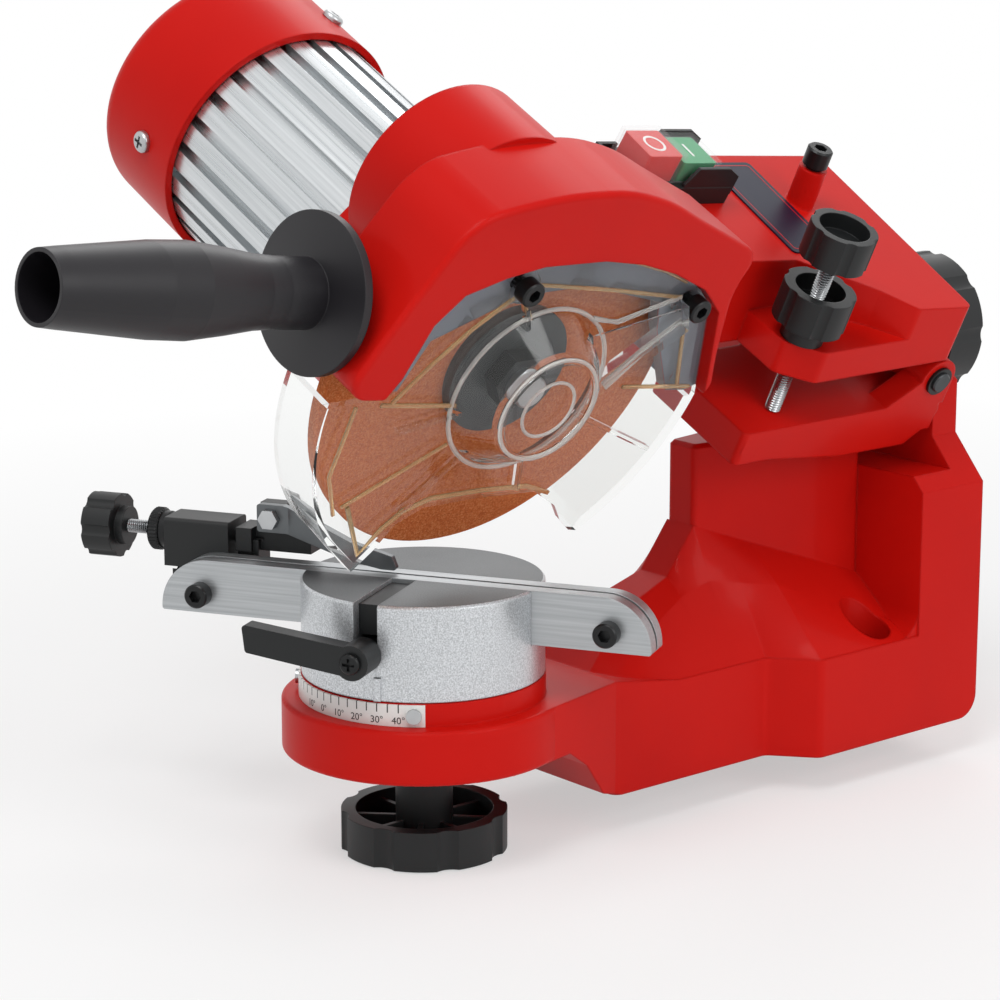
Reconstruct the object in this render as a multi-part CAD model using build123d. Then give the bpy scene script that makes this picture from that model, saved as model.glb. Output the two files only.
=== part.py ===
from build123d import *

import os
from math import atan2, cos, degrees, hypot, pi, radians, sin, tan

# Electric saw-chain sharpener for a bench edge: cast stand, swivelling chain vise, tilting and
# chopping grinding head. Millimetres, +Z up, +Y away from the operator.
# Origin: on the bench face, midway between the two bench bolt holes.
# The vise has a frame of its own: Z on its swivel axis, X along the rails, z = 0 on its top face.
# The head has one too: X along the motor shaft, origin in the middle of the disc.

# ---------------------------------------------------------------- fits
RUN = 0.05          # radial clearance of a shaft in its bearing bore
GAP = 0.3           # air between two bodies that pass each other
COVER_GAP = 0.5     # air round a casting that swings over another

# ---------------------------------------------------------------- grinding disc and head layout
DISC_RADIUS = 72.5
DISC_BORE_RADIUS = 11.0
DISC_THICKNESS = 4.5
ARM_LENGTH = 204.5          # disc centre to hinge pin, along the arm
HINGE_DROP = 24.0           # hinge pin below the disc centre
HEAD_TILT = 26.0            # head leans this far about the tilt axis, in degrees
DISC_BESIDE_TILT = 24.1     # disc plane beside the tilt axis
DISC_ABOVE_TILT = 34.2      # disc centre above the tilt axis
DISC_BEHIND_VISE = 2.4      # disc centre behind the vise axis

# ---------------------------------------------------------------- stand
TILT_AXIS_HEIGHT = 143.0
WALL_FRONT = 36.0           # front face of the rear wall's upper part
WALL_REAR = 49.0
REAR_HALF = 50.5            # half width of the stand at the rear
FRONT_HALF = 35.0           # half width of the stand behind the bench edge
RAMP_FRONT = -48.0          # the stand widens from here
RAMP_REAR = -35.0           # to here
EDGE_SETBACK = 58.0         # vise axis to the foot's front, which stops against the bench edge
SIDE_HEIGHT = 37.0          # height of the stand's upright sides
WALL_THICKNESS = 5.0
FLANGE_FRONT = 16.0         # front face of the rear wall's side flanges
FLANGE_TOP = 91.5
SHOULDER_HALF = 36.0
SHOULDER_LOW = 108.0
SHOULDER_TOP = 128.0
WALL_LUG_RADIUS = 18.0      # round top of the rear wall, about the tilt axis
COLUMN_FRONT = -59.0        # narrow nose of the column
COLUMN_NOSE_HALF = 7.0
COLUMN_REAR_HALF = 18.0     # column where it meets the rear wall
COLUMN_TOP = 113.0
BENCH_BOLT_SPACING = 76.0
BENCH_BOLT_RADIUS = 4.5
BOLT_POCKET_RADIUS = 9.5
BOLT_FLOOR = 14.0

# ---------------------------------------------------------------- platform and vise
VISE_TOP = 83.0
VISE_HEIGHT = 32.8
VISE_RADIUS = 42.0
VISE_ANGLE = 30.0
PLATFORM_RADIUS = 49.1
PLATFORM_BOTTOM = 23.0
PLATFORM_TOP = 42.0
SWIVEL_STUD_RADIUS = 6.0
LOCK_KNOB_RADIUS = 29.0
LOCK_KNOB_HEIGHT = 14.0
RAIL_LEFT = -96.0
RAIL_RIGHT = 84.0
RAIL_HEIGHT = 18.9
RAIL_THICKNESS = 5.5
CHAIN_GROOVE = 1.6          # gap between the rails, for the chain's drive links
RAIL_SCREW_INSET = 15.0
RAIL_SCREW_RADIUS = 2.5
CLAMP_X = -4.5              # clamp slot beside the vise's middle
CLAMP_WIDTH = 9.0
CLAMP_DEPTH = 17.0          # clamp shaft below the vise's top
CLAMP_SHAFT_RADIUS = 4.0
LEVER_LENGTH = 40.0
STOP_Y = 15.0               # chain stop's screw behind the chain groove
STOP_Z = 4.5                # and above the vise's top
STOP_SCREW_RADIUS = 2.5

# ---------------------------------------------------------------- wheel cover and guard
COVER_CLEARANCE = 2.7       # cover's inside to the disc's edge
COVER_WALL = 2.7
COVER_BACK = -13.0          # along the shaft
COVER_FRONT = 21.0
COVER_BACK_WALL = 3.0
COVER_EDGE_RADIUS = 2.0
GUARD_SEAT = 14.0           # guard lies on the cover here
GUARD_THICKNESS = 2.5
GUARD_RADIUS = 83.0
GUARD_RIM_BACK = -6.0
GUARD_DOME_FRONT = 28.5

# ---------------------------------------------------------------- arm, bracket and hinge
ARM_NEAR = 22.0             # along the shaft, the arm's side by the disc
ARM_FAR = -71.0
ARM_WALL = 4.0
ARM_BOTTOM = -15.0
EAR_TOP = -2.0
EAR_THICKNESS_Y = 10.0      # width of a hinge ear along the pin
HINGE_PIN_RADIUS = 4.0
HINGE_EAR_RADIUS = 8.5
BRACKET_TOP = -33.3
BRACKET_BOTTOM = -47.0
TILT_STUD_RADIUS = 6.0
TILT_KNOB_RADIUS = 27.0
DEPTH_X = 11.0              # depth screw, along the shaft
DEPTH_Y = 132.5             # and behind the disc
DEPTH_SCREW_RADIUS = 3.0

# ---------------------------------------------------------------- motor
MOTOR_FRONT = -52.0
MOTOR_REAR = -135.0
MOTOR_FIN_RADIUS = 43.5
MOTOR_FIN_DEPTH = 3.5
MOTOR_FIN_COUNT = 26
MOTOR_BORE_RADIUS = 37.0
FLANGE_RADIUS = 47.0
CAP_FRONT = -133.0
CAP_REAR = -178.0
CAP_RADIUS = 46.5
CAP_WALL = 2.5
SHAFT_RADIUS = 6.0
BEARING_RADIUS = 16.0
BEARING_WIDTH = 10.0
STACK_FRONT = -70.0
STACK_REAR = -115.0
ROTOR_RADIUS = 20.0
AIR_GAP = 0.4

# ---------------------------------------------------------------- handle
HANDLE_X = -9.0
HANDLE_Z = 30.0
HANDLE_RISE = 8.5           # handle points up by this, in degrees
HANDLE_START = -74.5        # lug face, in front of the disc centre
HANDLE_FLANGE_RADIUS = 26.0
HANDLE_LENGTH = 109.0

# ================================================================ worked out from the above
HINGE_TO_REAR = HINGE_EAR_RADIUS
BRACKET_REAR = ARM_LENGTH + HINGE_TO_REAR
DISC_Y = WALL_FRONT - GAP - BRACKET_REAR
VISE_Y = DISC_Y - DISC_BEHIND_VISE
FOOT_FRONT = VISE_Y + EDGE_SETBACK
VISE_BOTTOM = VISE_TOP - VISE_HEIGHT
WALL_REAR_LOCAL = WALL_REAR - DISC_Y
RAIL_INNER = CHAIN_GROOVE / 2
RAIL_OUTER = RAIL_INNER + RAIL_THICKNESS
CAVITY_RADIUS = DISC_RADIUS + COVER_CLEARANCE
COVER_RADIUS = CAVITY_RADIUS + COVER_WALL
HINGE = (ARM_LENGTH, -HINGE_DROP)
TILT_X = -DISC_BESIDE_TILT
TILT_Z = -DISC_ABOVE_TILT

VISE_FRAME = Pos(0, VISE_Y, VISE_TOP) * Rot(0, 0, VISE_ANGLE)
HEAD_FRAME = Pos(0, DISC_Y, TILT_AXIS_HEIGHT) * Rot(0, HEAD_TILT, 0) * Pos(DISC_BESIDE_TILT, 0, DISC_ABOVE_TILT)


# ================================================================ building blocks
def block(x0, x1, y0, y1, z0, z1):
    """Box between two corners."""
    centre = Pos((x0 + x1) / 2, (y0 + y1) / 2, (z0 + z1) / 2)
    return centre * Box(abs(x1 - x0), abs(y1 - y0), abs(z1 - z0))


def cylinder_x(radius, x0, x1, y=0.0, z=0.0):
    """Cylinder along X."""
    return Pos((x0 + x1) / 2, y, z) * Rot(0, 90, 0) * Cylinder(radius, abs(x1 - x0))


def cylinder_y(radius, y0, y1, x=0.0, z=0.0):
    """Cylinder along Y."""
    return Pos(x, (y0 + y1) / 2, z) * Rot(90, 0, 0) * Cylinder(radius, abs(y1 - y0))


def cylinder_z(radius, z0, z1, x=0.0, y=0.0):
    """Cylinder along Z."""
    return Pos(x, y, (z0 + z1) / 2) * Cylinder(radius, abs(z1 - z0))


def outline(points, radius=0.0):
    """Closed face through points, with every corner rounded alike."""
    if radius:
        return make_face(FilletPolyline(*points, radius=radius, close=True))
    return make_face(Polyline(*points, close=True))


def smooth_outline(points, share=0.45):
    """Closed face through points, with each corner rounded as far as its shorter edge allows."""
    radii = []
    for index, here in enumerate(points):
        before = Vector(*points[index - 1]) - Vector(*here)
        after = Vector(*points[(index + 1) % len(points)]) - Vector(*here)
        turn = radians(180 - before.get_angle(after))
        radii.append(share * min(before.length, after.length) / tan(turn / 2))
    return make_face(FilletPolyline(*points, radius=radii, close=True))


def prism_x(face, x0, x1):
    """Face drawn in (y, z), extruded along X from x0 to x1."""
    return extrude(Plane.YZ.offset(x0) * face, x1 - x0)


def prism_y(face, y0, y1):
    """Face drawn in (x, z), extruded along Y from y0 to y1."""
    front = Plane(origin=(0, y0, 0), x_dir=(1, 0, 0), z_dir=(0, -1, 0))
    return extrude(front * face, y0 - y1)


def prism_z(face, z0, z1):
    """Face drawn in (x, y), extruded along Z from z0 to z1."""
    return extrude(Plane.XY.offset(z0) * face, z1 - z0)


def polar(radius, angle):
    """Point at a radius and an angle in degrees."""
    return (radius * cos(radians(angle)), radius * sin(radians(angle)))


def lobed_face(radius, lobes, depth):
    """Round knob outline with shallow scallops between its lobes."""
    face = Circle(radius)
    scallop = radius * pi / lobes * 0.55
    for index in range(lobes):
        x, y = polar(radius + scallop - depth, (index + 0.5) * 360 / lobes)
        face -= Pos(x, y) * Circle(scallop)
    return face


def hexagon(across_flats):
    """Hexagon face for nuts and keys."""
    return RegularPolygon(across_flats / 2, 6, major_radius=False)


def cap_screw(radius, length, head_radius, head_height, key):
    """Socket screw along Z: head above z = 0, shank below, hexagon socket in the head."""
    head = cylinder_z(head_radius, 0, head_height)
    head = chamfer(head.edges().group_by(Axis.Z)[-1], head_radius * 0.12)
    screw = head + cylinder_z(radius, -length, 0)
    return screw - prism_z(hexagon(key), head_height * 0.45, head_height + 1)


def pan_screw(radius, length, head_radius, head_height):
    """Cross-recessed pan screw along Z: domed head above z = 0, shank below."""
    head = cylinder_z(head_radius, 0, head_height)
    head = fillet(head.edges().group_by(Axis.Z)[-1], head_height * 0.6)
    screw = head + cylinder_z(radius, -length, 0)
    slot = head_radius * 0.28
    for turn in (0, 90):
        screw -= Rot(0, 0, turn) * block(-head_radius * 0.6, head_radius * 0.6, -slot / 2, slot / 2,
                                         head_height * 0.4, head_height + 1)
    return screw


# ================================================================ stand
def stand_plan():
    """Outline of the stand behind the bench edge, seen from above."""
    right = [
        (FRONT_HALF, FOOT_FRONT),
        (FRONT_HALF, RAMP_FRONT),
        (REAR_HALF, RAMP_REAR),
        (REAR_HALF, WALL_REAR),
    ]
    left = [(-x, y) for x, y in reversed(right)]
    return right + left


def rear_wall_outline():
    """Right half and left half of the rear wall, seen from the front."""
    right = [
        (REAR_HALF, 0),
        (REAR_HALF, FLANGE_TOP),
        (SHOULDER_HALF, SHOULDER_LOW),
        (SHOULDER_HALF, SHOULDER_TOP),
        (WALL_LUG_RADIUS, TILT_AXIS_HEIGHT),
    ]
    left = [(-x, z) for x, z in reversed(right)]
    return right + left


def stand_casting():
    """Foot, arm, platform, column and rear wall in one hollow casting."""
    foot = prism_z(outline(stand_plan(), 4), 0, SIDE_HEIGHT)

    flare = loft([flare_section(*section) for section in FLARE_SECTIONS], ruled=True)

    arm_side = [
        (VISE_Y, PLATFORM_BOTTOM),
        (VISE_Y + 31, PLATFORM_BOTTOM),
        (VISE_Y + 41, PLATFORM_BOTTOM - 7),
        (FOOT_FRONT - 7, 3),
        (FOOT_FRONT + 3, 0),
        (FOOT_FRONT + 30, 0),
        (FOOT_FRONT + 30, SIDE_HEIGHT),
        (FOOT_FRONT, PLATFORM_TOP),
        (VISE_Y, PLATFORM_TOP),
    ]
    arm_plan = [
        (PLATFORM_RADIUS - 1, VISE_Y),
        (PLATFORM_RADIUS - 4, VISE_Y + 17),
        (FRONT_HALF, FOOT_FRONT),
        (FRONT_HALF, FOOT_FRONT + 30),
    ]
    arm_plan += [(-x, y) for x, y in reversed(arm_plan)]
    arm = prism_x(outline(arm_side), -60, 60) & prism_z(outline(arm_plan), -1, 60)

    column_plan = [
        (COLUMN_NOSE_HALF, COLUMN_FRONT),
        (COLUMN_REAR_HALF, FLANGE_FRONT + 1),
    ]
    column_plan += [(-x, y) for x, y in reversed(column_plan)]
    column = prism_z(outline(column_plan, 2.5), SIDE_HEIGHT, COLUMN_TOP)
    column = chamfer(column.edges().group_by(Axis.Z)[-1], 1.5)

    cove_y = FLANGE_FRONT - COVE_RADIUS
    cove_z = SIDE_HEIGHT + COVE_RADIUS
    cove = outline([(cove_y, SIDE_HEIGHT - 5), (FLANGE_FRONT + 1, SIDE_HEIGHT - 5), (FLANGE_FRONT + 1, cove_z),
                    (cove_y, cove_z)])
    cove -= Pos(cove_y, cove_z) * Circle(COVE_RADIUS)
    coves = prism_x(cove, -REAR_HALF + 0.8, -COLUMN_REAR_HALF)
    coves += prism_x(cove, COLUMN_REAR_HALF, REAR_HALF - 0.8)

    wall_face = outline(rear_wall_outline()) + Pos(0, TILT_AXIS_HEIGHT) * Circle(WALL_LUG_RADIUS)
    upper_wall = prism_y(wall_face, WALL_FRONT, WALL_REAR)
    lower_wall = prism_y(wall_face, FLANGE_FRONT, WALL_REAR)
    lower_wall &= block(-REAR_HALF, REAR_HALF, FLANGE_FRONT, WALL_REAR, 0, COLUMN_TOP - 16)

    platform = cylinder_z(PLATFORM_RADIUS, PLATFORM_BOTTOM, PLATFORM_TOP)
    platform = fillet(platform.edges().filter_by(GeomType.CIRCLE), 1.5)
    pedestal = cylinder_z(VISE_RADIUS + 0.3, PLATFORM_TOP - 1, VISE_BOTTOM - GAP)
    platform = Pos(0, VISE_Y, 0) * (platform + pedestal)

    body = foot + flare + arm + column + coves + lower_wall + upper_wall + platform

    for side in (-1, 1):
        x = side * BENCH_BOLT_SPACING / 2
        body -= cylinder_z(BOLT_POCKET_RADIUS, BOLT_FLOOR, COLUMN_TOP, x)
        body -= cylinder_z(BENCH_BOLT_RADIUS, -1, BOLT_FLOOR + 1, x)
    for cell in hollow_cells():
        body -= cell
    heel = WALL_REAR - HEEL_RADIUS
    corner = block(-REAR_HALF - 1, REAR_HALF + 1, heel, WALL_REAR + 1, -1, HEEL_RADIUS)
    body -= corner - cylinder_x(HEEL_RADIUS, -REAR_HALF - 2, REAR_HALF + 2, heel, HEEL_RADIUS)
    body -= cylinder_z(SWIVEL_STUD_RADIUS + RUN, 0, VISE_TOP, 0, VISE_Y)
    body -= cylinder_y(TILT_STUD_RADIUS + RUN, WALL_FRONT - 20, WALL_REAR + 1, 0, TILT_AXIS_HEIGHT)
    return body


COVE_RADIUS = 9.0
HEEL_RADIUS = 9.0           # rounded rear bottom edge
FLARE_SECTIONS = (          # y, half width at the base, crease (x, z), ridge (x, z)
    (FOOT_FRONT, FRONT_HALF, (30, SIDE_HEIGHT + 1), (20, SIDE_HEIGHT + 4)),
    (FOOT_FRONT + 27, FRONT_HALF, (20, 50), (9, 58)),
    (COLUMN_FRONT - 13, FRONT_HALF, (15, 60), (COLUMN_NOSE_HALF, 66)),
    (COLUMN_FRONT, FRONT_HALF, (16, 64), (COLUMN_NOSE_HALF, 83)),
    (RAMP_FRONT, FRONT_HALF, (21, 62.5), (8.5, 79)),
    (RAMP_REAR, REAR_HALF, (27, 60.5), (10.5, 74)),
    (FLANGE_FRONT + 1, REAR_HALF, (36, 40), (COLUMN_REAR_HALF, 55)),
)


def flare_section(y, half, crease, ridge):
    """Section of the stand across Y: upright side, crease, ridge beside the column."""
    right = [(half * 0.985, SIDE_HEIGHT - 4), (half * 0.985, SIDE_HEIGHT), crease, ridge]
    left = [(-x, z) for x, z in reversed(right)]
    front = Plane(origin=(0, y, 0), x_dir=(1, 0, 0), z_dir=(0, -1, 0))
    return front * outline(right + left)


def hollow_cells():
    """Ribbed hollows under the stand, open at the bench face."""
    roof = SIDE_HEIGHT - WALL_THICKNESS
    rib = WALL_THICKNESS / 2
    front = FOOT_FRONT + WALL_THICKNESS + 3
    middle = (front + RAMP_FRONT) / 2
    rear = WALL_REAR - HEEL_RADIUS - 4
    pocket = BOLT_POCKET_RADIUS + 3
    cells = []
    for side in (-1, 1):
        for y0, y1 in ((front, middle - rib), (middle + rib, RAMP_FRONT - rib)):
            cells.append(block(side * rib, side * (FRONT_HALF - WALL_THICKNESS), y0, y1, -1, roof))
        outer = REAR_HALF - WALL_THICKNESS
        inner = BENCH_BOLT_SPACING / 2 - BOLT_POCKET_RADIUS - WALL_THICKNESS
        for y0, y1 in ((RAMP_REAR + 2, -pocket), (pocket, rear)):
            cells.append(block(side * (inner + WALL_THICKNESS), side * outer, y0, y1, -1, roof))
        cells.append(block(side * rib, side * inner, RAMP_REAR + 2, -rib, -1, roof))
        cells.append(block(side * rib, side * inner, rib, rear, -1, roof))
    return cells


SCALE_HALF_ANGLE = 52
SCALE_RADIUS = VISE_RADIUS + 0.3
SCALE_THICKNESS = 0.8
SCALE_SCREW_ANGLE = 47


def scale_plate():
    """Curved degree strip round the front of the platform's step."""
    low = PLATFORM_TOP + 0.1
    high = VISE_BOTTOM - 2 * GAP
    ring = cylinder_z(SCALE_RADIUS + SCALE_THICKNESS, low, high) - cylinder_z(SCALE_RADIUS, low - 1, high + 1)
    far = 2 * VISE_RADIUS
    corner = far * sin(radians(SCALE_HALF_ANGLE))
    reach = -far * cos(radians(SCALE_HALF_ANGLE))
    sector = outline([(0, 0), (corner, reach), (corner, -far), (-corner, -far), (-corner, reach)])
    strip = ring & prism_z(sector, low - 1, high + 1)
    for side in (-1, 1):
        strip -= Pos(0, 0, (low + high) / 2) * Rot(0, 0, side * SCALE_SCREW_ANGLE) * cylinder_y(1.6, -60, -30)
    return Pos(0, VISE_Y, 0) * strip


def scale_screws():
    """Two button screws that hold the degree strip."""
    middle = (PLATFORM_TOP + VISE_BOTTOM) / 2 - GAP + 0.05
    screws = []
    for side in (-1, 1):
        head = cylinder_y(2.6, -SCALE_RADIUS - SCALE_THICKNESS - 1.5, -SCALE_RADIUS - SCALE_THICKNESS)
        shank = cylinder_y(1.5, -SCALE_RADIUS - SCALE_THICKNESS, -SCALE_RADIUS)
        screws.append(Pos(0, VISE_Y, middle) * Rot(0, 0, side * SCALE_SCREW_ANGLE) * (head + shank))
    return Compound(children=screws)


# ================================================================ vise (vise frame)
def vise_body():
    """Round cast body, slotted across for the rails and radially for the clamp."""
    body = cylinder_z(VISE_RADIUS, -VISE_HEIGHT, 0)
    body = chamfer(body.edges().group_by(Axis.Z)[-1], 0.8)
    body += block(-1.3, 1.3, -VISE_RADIUS - 0.8, -VISE_RADIUS + 3, -VISE_HEIGHT, -VISE_HEIGHT + 8)
    body -= block(-60, 60, -RAIL_OUTER - GAP / 3, RAIL_OUTER + GAP / 3, -RAIL_HEIGHT - 0.2, 1)
    half = CLAMP_WIDTH / 2
    body -= block(CLAMP_X - half, CLAMP_X + half, -60, -RAIL_OUTER, -CLAMP_DEPTH, 1)
    body -= cylinder_y(CLAMP_SHAFT_RADIUS + RUN, -60, -RAIL_OUTER - 6, CLAMP_X, -CLAMP_DEPTH)
    body -= cylinder_z(SWIVEL_STUD_RADIUS, -VISE_HEIGHT - 1, -RAIL_HEIGHT - 3)
    return body


def vise_swivel_stud():
    """Threaded stud from the vise down through the platform into the lock knob."""
    length = VISE_TOP - RAIL_HEIGHT - 3 + LOCK_KNOB_HEIGHT - 4
    top = -RAIL_HEIGHT - 3
    stud = cylinder_z(SWIVEL_STUD_RADIUS, top - length, top)
    return chamfer(stud.edges().group_by(Axis.Z)[0], 1)


def rail(side):
    """Flat chain rail with rounded ends: side -1 is the operator's, +1 the rear one."""
    corner = RAIL_HEIGHT - 1.5
    points = [(RAIL_LEFT, -RAIL_HEIGHT), (RAIL_LEFT, 0), (RAIL_RIGHT, 0), (RAIL_RIGHT, -RAIL_HEIGHT)]
    face = make_face(FilletPolyline(*points, radius=[1, corner, corner, 1], close=True))
    plate = prism_y(face, side * RAIL_INNER, side * RAIL_OUTER)
    for x in rail_screw_places():
        plate -= cylinder_y(RAIL_SCREW_RADIUS, -20, 20, x, rail_screw_height())
    return plate


def rail_screw_places():
    """Where the rail screws sit along the rails."""
    return (RAIL_LEFT + RAIL_SCREW_INSET, RAIL_RIGHT - RAIL_SCREW_INSET)


def rail_screw_height():
    """Height of the rail screws in the vise frame."""
    return -RAIL_HEIGHT * 0.64


def rail_screws():
    """Socket screws through both rails."""
    screws = []
    for x in rail_screw_places():
        length = 2 * RAIL_OUTER + 5
        screw = cap_screw(RAIL_SCREW_RADIUS, length, 4.3, 5, 4)
        screws.append(Pos(x, -RAIL_OUTER, rail_screw_height()) * Rot(90, 0, 0) * screw)
    return Compound(children=screws)


def rail_spacers():
    """Washers between the rails that keep the chain groove open at the ends."""
    spacers = []
    for x in rail_screw_places():
        ring = cylinder_y(4.5, -RAIL_INNER, RAIL_INNER, x, rail_screw_height())
        ring -= cylinder_y(RAIL_SCREW_RADIUS, -5, 5, x, rail_screw_height())
        spacers.append(ring)
    return Compound(children=spacers)


def clamp_plunger():
    """Black block in the radial slot that presses the front rail."""
    half = CLAMP_WIDTH / 2 - 0.1
    low = -CLAMP_DEPTH + CLAMP_SHAFT_RADIUS + 1
    return block(CLAMP_X - half, CLAMP_X + half, -VISE_RADIUS + 6, -RAIL_OUTER - GAP / 2, low, -1.5)


def clamp_shaft():
    """Shaft with an eccentric that works the plunger, turned by the lever."""
    shaft = cylinder_y(CLAMP_SHAFT_RADIUS, -VISE_RADIUS - 4, -RAIL_OUTER - 7, CLAMP_X, -CLAMP_DEPTH)
    return shaft - cylinder_y(1.6, -VISE_RADIUS - 5, -VISE_RADIUS + 6, CLAMP_X, -CLAMP_DEPTH)


LEVER_BACK = VISE_RADIUS + GAP
LEVER_FRONT = LEVER_BACK + 12


def clamp_lever():
    """Lever with a round boss at the vise and a flat tapered arm."""
    boss = cylinder_y(6.0, -LEVER_FRONT, -LEVER_BACK, CLAMP_X, -CLAMP_DEPTH)
    arm_face = outline([(0, -5), (-LEVER_LENGTH + 2, -3.2), (-LEVER_LENGTH, 6.2), (0, 5)], 1.2)
    arm = prism_y(arm_face, -LEVER_FRONT, -LEVER_FRONT + 6.5)
    arm = Pos(CLAMP_X, 0, -CLAMP_DEPTH) * Rot(0, 5, 0) * arm
    lever = boss + arm
    lever -= cylinder_y(CLAMP_SHAFT_RADIUS, -VISE_RADIUS - 4, -LEVER_BACK + 1, CLAMP_X, -CLAMP_DEPTH)
    return lever - cylinder_y(1.6, -LEVER_FRONT - 1, -VISE_RADIUS, CLAMP_X, -CLAMP_DEPTH)


def lever_screw():
    """Cross-head screw that holds the lever on its shaft."""
    screw = pan_screw(1.6, 12, 3.6, 2.2)
    return Pos(CLAMP_X, -LEVER_FRONT, -CLAMP_DEPTH) * Rot(90, 0, 0) * screw


HOLDER_LEFT = -101.0
HOLDER_RIGHT = -76.0
SLIDER_LEFT = HOLDER_RIGHT + 2.0
SLIDER_RIGHT = SLIDER_LEFT + 27.0
SLIDER_BOTTOM = 0.5          # slides over the vise's top
GUIDE_Z = -8.0
GUIDE_RADIUS = 2.5
KNOB_LEFT = -132.5
KNOB_RIGHT = -118.5
PAWL_X = -61.0
PAWL_Z = 13.0
PAWL_BOLT_RADIUS = 2.0


def stop_holder():
    """Black block on the rear rail that carries the chain stop's screw and guide."""
    holder = block(HOLDER_LEFT, HOLDER_RIGHT, RAIL_OUTER, STOP_Y + 7, -RAIL_HEIGHT + 3, STOP_Z + 6.3)
    holder = fillet(holder.edges().filter_by(Axis.X), 1.5)
    relief = rail_screw_height()
    holder -= block(HOLDER_LEFT - 1, RAIL_LEFT + RAIL_SCREW_INSET + 6, RAIL_OUTER - 1, RAIL_OUTER + 6.5,
                    relief - 5.5, relief + 5.5)
    holder -= cylinder_x(STOP_SCREW_RADIUS + RUN, HOLDER_LEFT - 1, HOLDER_RIGHT + 1, STOP_Y, STOP_Z)
    return holder - cylinder_x(GUIDE_RADIUS + RUN, HOLDER_LEFT - 1, HOLDER_RIGHT + 1, STOP_Y, GUIDE_Z)


def stop_slider():
    """Slider with a guide bar and a fork for the pawl."""
    slider = block(SLIDER_LEFT, SLIDER_RIGHT, 12.4, STOP_Y + 6, SLIDER_BOTTOM, STOP_Z + 4.5)
    slider += block(SLIDER_LEFT, PAWL_X - 7, RAIL_OUTER + 2, STOP_Y, SLIDER_BOTTOM, STOP_Z + 4.5)
    slider += block(SLIDER_LEFT, SLIDER_LEFT + 8, STOP_Y - 5, STOP_Y + 5, GUIDE_Z - 4, STOP_Z)
    slider += cylinder_x(GUIDE_RADIUS, SLIDER_LEFT - 22, SLIDER_LEFT + 4, STOP_Y, GUIDE_Z)
    slider += block(PAWL_X - 5, PAWL_X + 5, 12.4, 18, STOP_Z, PAWL_Z + 5)
    slider -= cylinder_x(STOP_SCREW_RADIUS + RUN, SLIDER_LEFT - 1, SLIDER_LEFT + 9, STOP_Y, STOP_Z)
    return slider - cylinder_y(PAWL_BOLT_RADIUS, 0, 30, PAWL_X, PAWL_Z)


def stop_rod():
    """Threaded rod of the chain stop."""
    return cylinder_x(STOP_SCREW_RADIUS, KNOB_LEFT + 4, SLIDER_LEFT + 8, STOP_Y, STOP_Z)


def stop_knob():
    """Lobed knob on the chain stop's rod."""
    knob = prism_x(lobed_face(11.5, 7, 1.1), KNOB_LEFT, KNOB_RIGHT - 3)
    knob = Pos(0, STOP_Y, STOP_Z) * knob
    knob += cylinder_x(7, KNOB_RIGHT - 3, KNOB_RIGHT, STOP_Y, STOP_Z)
    return knob - cylinder_x(STOP_SCREW_RADIUS, KNOB_LEFT + 4, KNOB_RIGHT + 1, STOP_Y, STOP_Z)


def stop_lock_nut():
    """Knurled nut that locks the chain stop's rod against the holder."""
    left = HOLDER_LEFT - 7.5
    nut = cylinder_x(7.7, left, left + 7, STOP_Y, STOP_Z)
    nut = chamfer(nut.edges().filter_by(GeomType.CIRCLE), 0.7)
    return nut - cylinder_x(STOP_SCREW_RADIUS + RUN, left - 1, left + 8, STOP_Y, STOP_Z)


def stop_pawl():
    """Steel pawl from the slider's bolt down to the chain, joggled over the groove."""
    side = outline([
        (PAWL_X - 5, PAWL_Z - 5), (PAWL_X - 5, PAWL_Z + 5), (PAWL_X + 5, PAWL_Z + 5),
        (PAWL_X + 50, 6), (PAWL_X + 52, 1.2), (PAWL_X + 46, 1.2), (PAWL_X + 6, PAWL_Z - 5),
    ], 1.0)
    plan = outline([
        (PAWL_X - 6, 9), (PAWL_X - 6, 12.1), (PAWL_X + 9, 12.1), (PAWL_X + 36, 1.8),
        (PAWL_X + 53, 1.2), (PAWL_X + 53, -1.2), (PAWL_X + 34, -1.2), (PAWL_X + 7, 9),
    ])
    pawl = prism_y(side, -2, 13) & prism_z(plan, 0, PAWL_Z + 6)
    return pawl - cylinder_y(PAWL_BOLT_RADIUS + RUN, 0, 30, PAWL_X, PAWL_Z)


def pawl_bolt():
    """Bolt the pawl turns on."""
    bolt = cylinder_y(PAWL_BOLT_RADIUS, 8.8, 18, PAWL_X, PAWL_Z)
    return bolt + prism_y(Pos(PAWL_X, PAWL_Z) * hexagon(6.5), 6.5, 8.8)


def vise_lock_knob():
    """Lobed cup knob under the platform, open upward, ribbed inside, with a tall hub."""
    cup = prism_z(lobed_face(LOCK_KNOB_RADIUS, 8, 1.6), -LOCK_KNOB_HEIGHT, 0)
    cup -= cylinder_z(LOCK_KNOB_RADIUS - 5, -LOCK_KNOB_HEIGHT + 4, 1)
    for index in range(8):
        rib = block(5, LOCK_KNOB_RADIUS - 4, -0.9, 0.9, -LOCK_KNOB_HEIGHT + 3, -3)
        cup += Rot(0, 0, index * 45) * rib
    hub_top = PLATFORM_BOTTOM - GAP
    cup += cylinder_z(10, -LOCK_KNOB_HEIGHT, hub_top)
    cup -= prism_z(hexagon(LOCK_NUT_FLATS), hub_top - LOCK_NUT_HEIGHT, hub_top + 1)
    cup -= cylinder_z(SWIVEL_STUD_RADIUS + 0.5, -LOCK_KNOB_HEIGHT + 2.5, hub_top)
    return cup


LOCK_NUT_FLATS = 16.0
LOCK_NUT_HEIGHT = 10.0


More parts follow.
